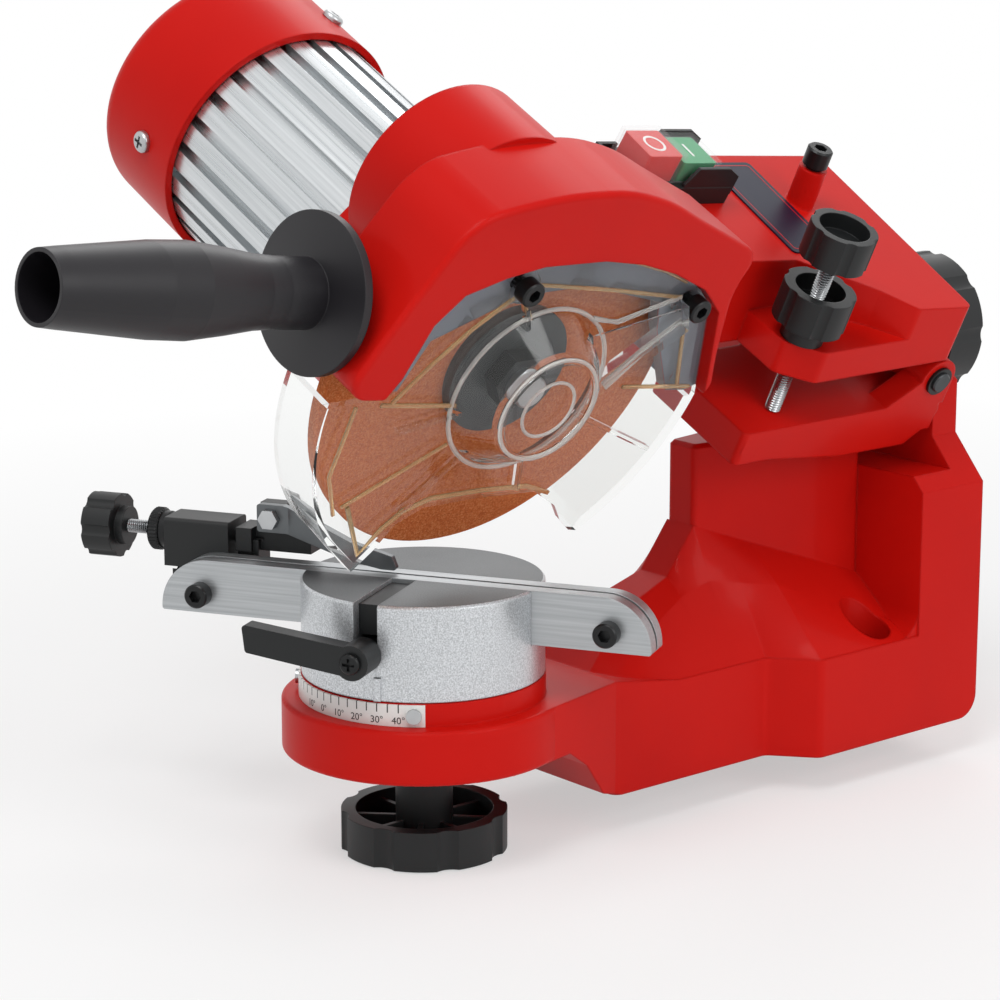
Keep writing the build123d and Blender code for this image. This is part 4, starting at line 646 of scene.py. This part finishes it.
def lathe(profile: list[tuple[float, float]], steps: int) -> bpy.types.Object:
    """Turn a closed profile round Z.

    Args:
        profile: Radius and height of each corner, in millimetres, in order.
        steps: Segments in the full turn.

    Returns:
        The turned object, in edit mode, with its doubles merged.
    """
    clear_selection()
    bpy.ops.mesh.primitive_circle_add(vertices=len(profile), radius=1.0)
    piece = bpy.context.object
    for vertex, (radius, height) in zip(piece.data.vertices, profile):
        vertex.co = (radius * MM, 0, height * MM)
    bpy.ops.object.mode_set(mode="EDIT")
    bpy.ops.mesh.select_all(action="SELECT")
    bpy.ops.mesh.spin(steps=steps, angle=math.tau, center=(0, 0, 0), axis=(0, 0, 1))
    bpy.ops.mesh.select_all(action="SELECT")
    bpy.ops.mesh.remove_doubles(threshold=0.001 * MM)
    bpy.ops.mesh.normals_make_consistent(inside=False)
    return piece


def threaded_rod(radius: float, length: float, pitch: float, depth: float) -> bpy.types.Object:
    """Threaded rod along Z from z = 0: one turn of thread, repeated, with chamfered ends.

    Args:
        radius: Radius over the crests, in millimetres.
        length: Length, in millimetres.
        pitch: Distance between crests, in millimetres.
        depth: Depth of the groove, in millimetres.

    Returns:
        The rod, in object mode.
    """
    around = 16
    rings = 8
    clear_selection()
    bpy.ops.mesh.primitive_circle_add(vertices=around, radius=radius * MM)
    rod = bpy.context.object
    bpy.ops.object.mode_set(mode="EDIT")
    bpy.ops.mesh.select_all(action="SELECT")
    for _ in range(rings):
        bpy.ops.mesh.extrude_region_move(TRANSFORM_OT_translate={"value": (0, 0, pitch * MM / rings)})
    bpy.ops.object.mode_set(mode="OBJECT")
    for vertex in rod.data.vertices:
        turn = math.atan2(vertex.co.y, vertex.co.x) / math.tau
        phase = (vertex.co.z / (pitch * MM) - turn) % 1.0
        size = 1 - depth / radius * abs(2 * phase - 1)
        vertex.co.x *= size
        vertex.co.y *= size
    turns = round(length / pitch)
    array = rod.modifiers.new("turns", "ARRAY")
    array.count = turns
    array.use_relative_offset = False
    array.use_constant_offset = True
    array.constant_offset_displace = (0, 0, pitch * MM)
    array.use_merge_vertices = True
    array.merge_threshold = 0.001 * MM
    apply_modifiers(rod)
    top = turns * pitch * MM
    for end in (0.0, top):
        pick(rod, lambda place, level=end: abs(place.z - level) < 0.01 * MM)
        bpy.ops.mesh.edge_face_add()
    bpy.ops.mesh.select_all(action="SELECT")
    bpy.ops.mesh.normals_make_consistent(inside=False)
    bpy.ops.object.mode_set(mode="OBJECT")
    for vertex in rod.data.vertices:
        limit = (radius - depth) * MM + min(vertex.co.z, top - vertex.co.z)
        reach = math.hypot(vertex.co.x, vertex.co.y)
        if reach > limit:
            vertex.co.x *= limit / reach
            vertex.co.y *= limit / reach
    stretch = length * MM / top
    rod.data.transform(Matrix.Diagonal((1, 1, stretch, 1)))
    bpy.ops.object.shade_smooth_by_angle(angle=math.radians(35))
    return rod


def bead(points: list[tuple[float, float]], width: float, height: float) -> bpy.types.Object:
    """Raised bead along a line in the XY plane, with rounded shoulders.

    Args:
        points: The line's corners, in millimetres.
        width: Its width, in millimetres.
        height: Its height, in millimetres.

    Returns:
        The bead, in object mode.
    """
    clear_selection()
    bpy.ops.mesh.primitive_grid_add(x_subdivisions=len(points) - 1, y_subdivisions=1, size=1)
    piece = bpy.context.object
    line = [Vector((x, y, 0)) for x, y in points]
    for vertex in piece.data.vertices:
        spot = round((vertex.co.x + 0.5) * (len(points) - 1))
        side = 1 if vertex.co.y > 0 else -1
        along = (line[min(spot + 1, len(line) - 1)] - line[max(spot - 1, 0)]).normalized()
        across = Vector((-along.y, along.x, 0))
        vertex.co = (line[spot] + across * side * width / 2) * MM
    bpy.ops.object.mode_set(mode="EDIT")
    bpy.ops.mesh.select_all(action="SELECT")
    bpy.ops.mesh.extrude_region_move(TRANSFORM_OT_translate={"value": (0, 0, height * MM)})
    bpy.ops.mesh.select_all(action="SELECT")
    bpy.ops.mesh.normals_make_consistent(inside=False)
    bpy.ops.object.mode_set(mode="OBJECT")
    bevel = piece.modifiers.new("shoulders", "BEVEL")
    bevel.width = min(width, height) * 0.3 * MM
    bevel.segments = 2
    apply_modifiers(piece)
    bpy.ops.object.shade_smooth_by_angle(angle=math.radians(40))
    return piece


# ------------------------------------------------------------------ sub-assemblies
@dataclass
class Stand:
    """Cast stand with its degree strip."""

    number_height: float = 2.5 * MM
    number_radius: float = 43.12 * MM
    number_level: float = 44.3 * MM

    def build(self) -> None:
        """Dress the casting and print the numbers on the strip."""
        dress(("stand_casting",), Finishes.RED_ENAMEL)
        dress(("scale_plate",), Finishes.SCALE_WHITE)
        dress(("scale_screws",), Finishes.ZINC_STEEL)
        for degrees, word in ((-10, "10"), (0, "0"), (10, "10"), (20, "20"), (30, "30"), (40, "40")):
            self.number(degrees, word)

    def number(self, degrees: int, word: str) -> None:
        """Print one number on the strip.

        Args:
            degrees: Its place round the vise axis, from the front to the right.
            word: The digits.
        """
        clear_selection()
        bpy.ops.object.text_add()
        text = bpy.context.object
        text.data.body = word + "\N{DEGREE SIGN}"
        text.data.size = self.number_height * 1.35
        text.data.align_x = "CENTER"
        text.data.extrude = 0.02 * MM
        bpy.ops.object.convert(target="MESH")
        place = (
            Matrix.Translation((0, VISE_Y, self.number_level - self.number_height / 2))
            @ Matrix.Rotation(math.radians(degrees), 4, "Z")
            @ Matrix.Translation((0, -self.number_radius, 0))
            @ Matrix.Rotation(math.radians(90), 4, "X")
        )
        name = f"scale_number_{degrees}".replace("-", "minus_")
        settle(bpy.context.object, name, "stand", Finishes.INK, place)


@dataclass
class Vise:
    """Swivelling chain vise with its clamp, its chain stop and its lock knob."""

    rod_start: float = -128.5
    rod_length: float = 62.5
    rod_radius: float = 2.5
    rod_pitch: float = 0.8
    rod_groove: float = 0.42
    nut_start: float = -108.5
    screw_y: float = 15.0
    screw_z: float = 4.5
    teeth: int = 36
    rim_from: float = 7.5
    groove_share: float = 0.945

    def build(self) -> None:
        """Dress the vise's nodes, cut the thread and knurl the nut."""
        dress(("vise_body",), Finishes.SILVER_HAMMER)
        dress(("rail_front", "rail_rear", "rail_spacers"), Finishes.GROUND_STEEL)
        dress(("stop_pawl",), Finishes.SPRING_STEEL)
        dress(("vise_swivel_stud", "vise_lock_nut", "pawl_bolt"), Finishes.ZINC_STEEL)
        dress(("rail_screws", "clamp_shaft", "lever_screw"), Finishes.BLACK_OXIDE)
        black = ("clamp_plunger", "clamp_lever", "stop_holder", "stop_slider", "stop_knob", "vise_lock_knob")
        dress(black, Finishes.BLACK_NYLON)
        self.thread()
        self.knurled_nut()

    def along_screw(self, start: float) -> Matrix:
        """Placement on the chain stop's screw axis, Z along the rail."""
        spot = (start * MM, self.screw_y * MM, self.screw_z * MM)
        return VISE @ Matrix.Translation(spot) @ Matrix.Rotation(math.radians(90), 4, "Y")

    def thread(self) -> None:
        """Thread of the chain stop's rod."""
        rod = threaded_rod(self.rod_radius, self.rod_length, self.rod_pitch, self.rod_groove)
        settle(rod, "stop_rod_thread", "stop_screw", Finishes.THREAD_STEEL,
               self.along_screw(self.rod_start))
        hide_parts("stop_rod")

    def knurled_nut(self) -> None:
        """Thumb nut with a straight-knurled rim and a plain hub."""
        profile = [
            (2.55, 0.0), (7.0, 0.0), (7.7, 0.7), (7.7, 3.4), (7.1, 4.0), (6.6, 4.1), (6.6, 6.4), (6.0, 7.0),
            (2.55, 7.0),
        ]
        nut = lathe(profile, self.teeth * 2)
        rim = self.rim_from * MM
        step = math.tau / self.teeth
        pick(nut, lambda place: math.hypot(place.x, place.y) > rim
             and round(math.atan2(place.y, place.x) / step * 2) % 2 == 1)
        inward = (self.groove_share, self.groove_share, 1)
        bpy.ops.transform.resize(value=inward, center_override=(0, 0, 0))
        bpy.ops.object.mode_set(mode="OBJECT")
        bpy.ops.object.shade_smooth_by_angle(angle=math.radians(12))
        settle(nut, "stop_lock_nut_knurled", "stop_nut", Finishes.BLACK_OXIDE,
               self.along_screw(self.nut_start))
        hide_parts("stop_lock_nut")


@dataclass
class TiltHinge:
    """Bracket, hinge and rear knob that carry the head."""

    def build(self) -> None:
        """Dress the bracket's nodes."""
        dress(("tilt_bracket",), Finishes.RED_ENAMEL)
        dress(("tilt_stud", "tilt_washer", "tilt_nut", "lift_spring"), Finishes.ZINC_STEEL)
        dress(("hinge_pin",), Finishes.DARK_STEEL)
        dress(("hinge_rings",), Finishes.BLACK_OXIDE)
        dress(("tilt_knob",), Finishes.BLACK_NYLON)


@dataclass
class Guard:
    """Clear guard with the ribs and folds of its moulding."""

    face: float = 16.5
    fold_height: float = 0.9
    hub_rib_height: float = 1.2
    ribs: tuple[tuple[str, float, tuple[tuple[float, float], ...]], ...] = (
        ("fold_upper_left", 1.5, ((-57.2, 3.2), (-45.9, 16.1), (-33.8, 27.8), (-19.8, 38.4))),
        ("fold_upper_right", 1.3, ((-13.0, 42.6), (22.1, 36.1), (56.5, 28.7))),
        ("fold_middle", 1.5, ((-61.6, 3.2), (-29.4, -1.9))),
        ("rib_top", 1.3, ((-15.0, 37.6), (-9.2, 28.6))),
        ("rib_lower_left", 1.2, ((-27.4, -17.5), (-64.6, -36.4))),
        ("rib_right", 1.3, ((61.9, 19.9), (70.5, -9.0))),
        ("fold_right", 1.4, ((44.0, -5.8), (77.0, -10.6))),
        ("fold_front", 1.3, ((-71.6, 4.2), (-73.7, -22.8), (-66.9, -39.2))),
        ("fold_edge", 1.5, ((-61.9, -36.8), (-50.9, -58.3), (-44.2, -49.0), (-37.4, -43.0), (-26.5, -39.6),
                            (-5.0, -40.2), (15.6, -42.2), (27.0, -47.0))),
        ("fold_outline", 1.1, ((-64.0, 6.2), (-58.6, 15.4), (-52.6, 34.0), (-44.4, 43.6), (-29.6, 48.0),
                               (-22.5, 49.2))),
        ("fold_outline_top", 1.1, ((-11.5, 50.4), (11.0, 49.4), (28.7, 45.9), (44.6, 40.5), (56.6, 34.6))),
    )
    hub_ribs: tuple[tuple[str, float, tuple[tuple[float, float], ...]], ...] = (
        ("channel_upper", 1.8, ((56.6, 29.0), (30.5, 22.0), (18.5, 25.6))),
        ("channel_lower", 1.8, ((62.0, 20.5), (45.8, 8.5), (33.5, -3.0))),
    )
    rings: tuple[tuple[str, float, float, float], ...] = (
        ("hub_foot", 31.2, 0.0, 1.6),
        ("hub_rim", 19.4, 12.0, 1.4),
        ("hub_ring", 10.5, 12.0, 1.2),
    )

    def build(self) -> None:
        """Dress the guard and set its ribs on its face."""
        dress(("guard",), Finishes.CLEAR_GUARD)
        place = HEAD @ Matrix.Translation((self.face * MM, 0, 0)) @ Matrix(
            ((0, 0, 1, 0), (1, 0, 0, 0), (0, 1, 0, 0), (0, 0, 0, 1))
        )
        for name, width, points in self.ribs:
            rib = bead(list(points), width, self.fold_height)
            # Their amber finish is a painted reflection of the orange disc.
            settle(rib, "guard_" + name, "head", Finishes.AMBER_EDGE, place)
        for name, width, points in self.hub_ribs:
            rib = bead(list(points), width, self.hub_rib_height)
            settle(rib, "guard_" + name, "head", Finishes.CLEAR_RIB, place)
        for name, radius, level, width in self.rings:
            self.ring("guard_" + name, radius, level, width, place)

    def ring(self, name: str, radius: float, level: float, width: float, place: Matrix) -> None:
        """Raised ring round the guard's hub.

        Args:
            name: The piece's name.
            radius: Its middle radius, in millimetres.
            level: Its foot above the guard's face, in millimetres.
            width: Its width, in millimetres.
            place: The guard face's placement.
        """
        inner, outer, rise = radius - width / 2, radius + width / 2, width * 0.6
        profile = [
            (inner, level), (inner, level + rise * 0.6), (inner + width * 0.25, level + rise),
            (outer - width * 0.25, level + rise), (outer, level + rise * 0.6), (outer, level),
        ]
        ring = lathe(profile, 64)
        bpy.ops.object.mode_set(mode="OBJECT")
        bpy.ops.object.shade_smooth_by_angle(angle=math.radians(50))
        settle(ring, name, "head", Finishes.CLEAR_RIB, place)


@dataclass
class Head:
    """Head casting with handle, switch, label and depth screw."""

    switch_x: float = -54.0
    switch_y: float = 103.7
    button_offset: float = 9.4
    stop_top: float = 17.4
    start_top: float = 14.5
    rod_low: float = -33.0
    rod_top: float = 38.0
    rod_x: float = 11.0
    rod_y: float = 132.5
    rod_radius: float = 3.0
    rod_pitch: float = 1.0
    rod_groove: float = 0.55
    ring_inner: float = 3.5
    ring_outer: float = 4.5
    mark_height: float = 0.15
    mark_edge: float = 0.1
    bar_half: float = 3.6
    bar_width: float = 1.0
    label_x: float = -39.0
    label_y: float = 152.0
    label_top: float = 0.6
    border_size: tuple[float, float] = (50.4, 19.4)
    border_corner: float = 1.6
    border_width: float = 0.5
    border_height: float = 0.04

    def build(self) -> None:
        """Dress the head's nodes, mark the buttons, line the label and cut the thread."""
        dress(("head_casting",), Finishes.HEAD_ENAMEL)
        dress(("switch_cover",), Finishes.FROSTED_CAP)
        dress(("guard_screws", "head_stop_screw"), Finishes.BLACK_OXIDE)
        dress(("handle_stud",), Finishes.ZINC_STEEL)
        dress(("handle_grip",), Finishes.BLACK_GRIP)
        dress(("switch_frame", "depth_knob", "depth_lock_knob"), Finishes.BLACK_NYLON)
        dress(("label_plate",), Finishes.NAVY_LABEL)
        dress(("stop_button",), Finishes.RED_BUTTON)
        dress(("start_button",), Finishes.GREEN_BUTTON)
        self.stop_mark()
        self.start_mark()
        self.label_line()
        self.thread()

    def stop_mark(self) -> None:
        """Ring printed on the stop button."""
        inner, outer, top, edge = self.ring_inner, self.ring_outer, self.mark_height, self.mark_edge
        profile = [
            (inner, 0.0), (outer, 0.0), (outer, edge),
            (outer - edge, top), (inner + edge, top), (inner, edge),
        ]
        ring = lathe(profile, 48)
        bpy.ops.object.mode_set(mode="OBJECT")
        bpy.ops.object.shade_smooth_by_angle(angle=math.radians(30))
        place = on_arm(self.switch_x, self.switch_y, self.stop_top) @ Matrix.Translation(
            (0, -self.button_offset * MM, 0)
        )
        settle(ring, "stop_mark", "red_button", Finishes.WHITE_MARK, place)

    def start_mark(self) -> None:
        """Bar printed on the start button."""
        bar = bead([(-self.bar_half, 0), (self.bar_half, 0)], self.bar_width, self.mark_height)
        place = on_arm(self.switch_x, self.switch_y, self.start_top) @ Matrix.Translation(
            (0, self.button_offset * MM, 0)
        )
        settle(bar, "start_mark", "green_button", Finishes.WHITE_MARK, place)

    def label_line(self) -> None:
        """Thin line round the bare label."""
        clear_selection()
        bpy.ops.mesh.primitive_plane_add(size=1)
        line = bpy.context.object
        length, width = self.border_size
        line.scale = (length * MM, width * MM, 1)
        bpy.ops.object.transform_apply(scale=True)
        bpy.ops.object.mode_set(mode="EDIT")
        bpy.ops.mesh.select_all(action="SELECT")
        bpy.ops.mesh.bevel(affect="VERTICES", offset=self.border_corner * MM, segments=4)
        bpy.ops.mesh.select_all(action="SELECT")
        bpy.ops.mesh.inset(thickness=self.border_width * MM)
        bpy.ops.mesh.delete(type="FACE")
        bpy.ops.mesh.select_all(action="SELECT")
        bpy.ops.mesh.extrude_region_move(TRANSFORM_OT_translate={"value": (0, 0, self.border_height * MM)})
        bpy.ops.mesh.select_all(action="SELECT")
        bpy.ops.mesh.normals_make_consistent(inside=False)
        bpy.ops.object.mode_set(mode="OBJECT")
        place = on_arm(self.label_x, self.label_y, self.label_top)
        settle(line, "label_border", "head", Finishes.RED_LINE, place)

    def thread(self) -> None:
        """Thread of the depth screw's rod."""
        length = self.rod_top - self.rod_low
        rod = threaded_rod(self.rod_radius, length, self.rod_pitch, self.rod_groove)
        place = HEAD @ Matrix.Translation((self.rod_x * MM, self.rod_y * MM, self.rod_low * MM))
        settle(rod, "depth_rod_thread", "depth_screw", Finishes.THREAD_STEEL, place)
        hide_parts("depth_rod")


@dataclass
class Motor:
    """Motor with its cap, and the disc on its shaft."""

    def build(self) -> None:
        """Dress the motor's nodes."""
        dress(("motor_end_cap",), Finishes.RED_ENAMEL)
        dress(("motor_housing", "motor_shield"), Finishes.ALUMINIUM)
        bright = ("end_cap_screws", "motor_shaft", "inner_flange", "front_bearing", "rear_bearing")
        dress(bright, Finishes.ZINC_STEEL)
        dress(("outer_flange",), Finishes.DARK_STEEL)
        dress(("flange_nut",), Finishes.BLACK_OXIDE)
        dress(("rotor_core", "stator_core"), Finishes.CORE_STEEL)
        dress(("stator_windings",), Finishes.COPPER)
        dress(("cooling_fan", "cable_gland"), Finishes.BLACK_NYLON)
        dress(("grinding_disc",), Finishes.ABRASIVE)


# ------------------------------------------------------------------ studio
@dataclass
class Studio:
    """Floor, lights and camera."""

    floor_level: float = -14.5 * MM
    azimuth: float = math.radians(49.92)
    elevation: float = math.radians(13.26)
    camera_place: tuple[float, float, float] = (0.8340, -0.8470, 0.3613)
    lens: float = 115.9
    fill: float = 0.42
    floor_size: float = 12.0
    shadow_reach: float = 0.25
    white_from: float = 0.7
    paper_share: float = 0.5
    aim: tuple[float, float, float] = (0.0, -0.1, 0.12)

    def build(self) -> None:
        """Set up the world, the floor, the lamps and the camera."""
        self.world()
        self.floor()
        self.lamp("key_light", (0.5, -1.0, 1.7), 0.9, 17.0)
        self.lamp("side_light", (1.5, 0.1, 0.8), 0.8, 7.0)
        self.lamp("rear_light", (-0.9, 0.9, 1.2), 0.8, 5.0)
        self.camera()
        bpy.context.scene.view_settings.view_transform = "Standard"

    @staticmethod
    def seen(tree: bpy.types.NodeTree) -> bpy.types.NodeSocket:
        """One where the camera, a reflection or a clear piece looks, and nought for plain light."""
        path = add_node(tree, "ShaderNodeLightPath")
        first = add_node(
            tree,
            "ShaderNodeMath",
            {"operation": "MAXIMUM"},
            {0: path.outputs["Is Camera Ray"], 1: path.outputs["Is Transmission Ray"]},
        )
        return add_node(
            tree,
            "ShaderNodeMath",
            {"operation": "MAXIMUM"},
            {0: first.outputs[0], 1: path.outputs["Is Glossy Ray"]},
        ).outputs[0]

    def world(self) -> None:
        """Even pale world that is white to the camera, to glass and to metal."""
        world = bpy.data.worlds.new("studio")
        bpy.context.scene.world = world
        world.use_nodes = True
        tree = world.node_tree
        ground = tree.nodes["Background"]
        ground.inputs["Color"].default_value = (1, 1, 1, 1)
        ground.inputs["Strength"].default_value = self.fill
        white = add_node(tree, "ShaderNodeBackground", {"Color": (1, 1, 1, 1), "Strength": 1.0})
        mix = add_node(
            tree, "ShaderNodeMixShader", links={0: self.seen(tree), 1: ground.outputs[0], 2: white.outputs[0]}
        )
        tree.links.new(mix.outputs[0], tree.nodes["World Output"].inputs["Surface"])

    def floor(self) -> None:
        """White floor under the lowest knob, with the shadow near the machine and plain white further out."""
        clear_selection()
        bpy.ops.mesh.primitive_plane_add(size=self.floor_size, location=(0, 0, self.floor_level))
        floor = bpy.context.object
        floor.name = "studio_floor"
        paper = Finish("matte_white_paper", "F4F4F4", 0.9, specular=0.0).material()
        tree = paper.node_tree
        place = add_node(tree, "ShaderNodeTexCoord").outputs["Object"]
        reach = add_node(tree, "ShaderNodeVectorMath", {"operation": "LENGTH"}, {0: place})
        share = add_node(
            tree,
            "ShaderNodeMapRange",
            {
                "From Min": self.shadow_reach,
                "From Max": self.white_from,
                "To Min": self.paper_share,
                "To Max": 1.0,
            },
            {"Value": reach.outputs["Value"]},
        )
        factor = add_node(
            tree,
            "ShaderNodeMath",
            {"operation": "MULTIPLY"},
            {0: share.outputs["Result"], 1: self.seen(tree)},
        )
        white = add_node(tree, "ShaderNodeEmission", {"Color": (1, 1, 1, 1), "Strength": 1.0})
        mix = add_node(
            tree,
            "ShaderNodeMixShader",
            links={0: factor.outputs[0], 1: tree.nodes["Principled BSDF"].outputs[0], 2: white.outputs[0]},
        )
        tree.links.new(mix.outputs[0], tree.nodes["Material Output"].inputs["Surface"])
        floor.data.materials.append(paper)

    def lamp(self, name: str, place: tuple[float, float, float], size: float, power: float) -> None:
        """Add a square soft light that looks at the machine.

        Args:
            name: The lamp's name.
            place: Where it hangs.
            size: Its side, in metres.
            power: Its power, in watts.
        """
        bpy.ops.object.light_add(type="AREA", location=place)
        lamp = bpy.context.object
        lamp.name = name
        lamp.data.size = size
        lamp.data.energy = power
        look = Vector(self.aim) - Vector(place)
        lamp.rotation_euler = look.to_track_quat("-Z", "Y").to_euler()

    def camera(self) -> None:
        """Camera at the operator's right, looking slightly down."""
        data = bpy.data.cameras.new("bench_camera")
        data.lens = self.lens
        data.sensor_width = 36.0
        data.clip_start = 0.05
        camera = bpy.data.objects.new("bench_camera", data)
        bpy.context.scene.collection.objects.link(camera)
        camera.location = self.camera_place
        look = Vector(
            (
                -math.sin(self.azimuth) * math.cos(self.elevation),
                math.cos(self.azimuth) * math.cos(self.elevation),
                -math.sin(self.elevation),
            )
        )
        camera.rotation_euler = look.to_track_quat("-Z", "Y").to_euler()
        bpy.context.scene.camera = camera


def main() -> None:
    """Build every sub-assembly and the studio round it."""
    logging.basicConfig(level=logging.INFO, format="%(name)s: %(message)s")
    for part in (Stand(), Vise(), TiltHinge(), Guard(), Head(), Motor(), Studio()):
        log.info("building %s", type(part).__name__)
        part.build()


if __name__ == "__main__":
    main()
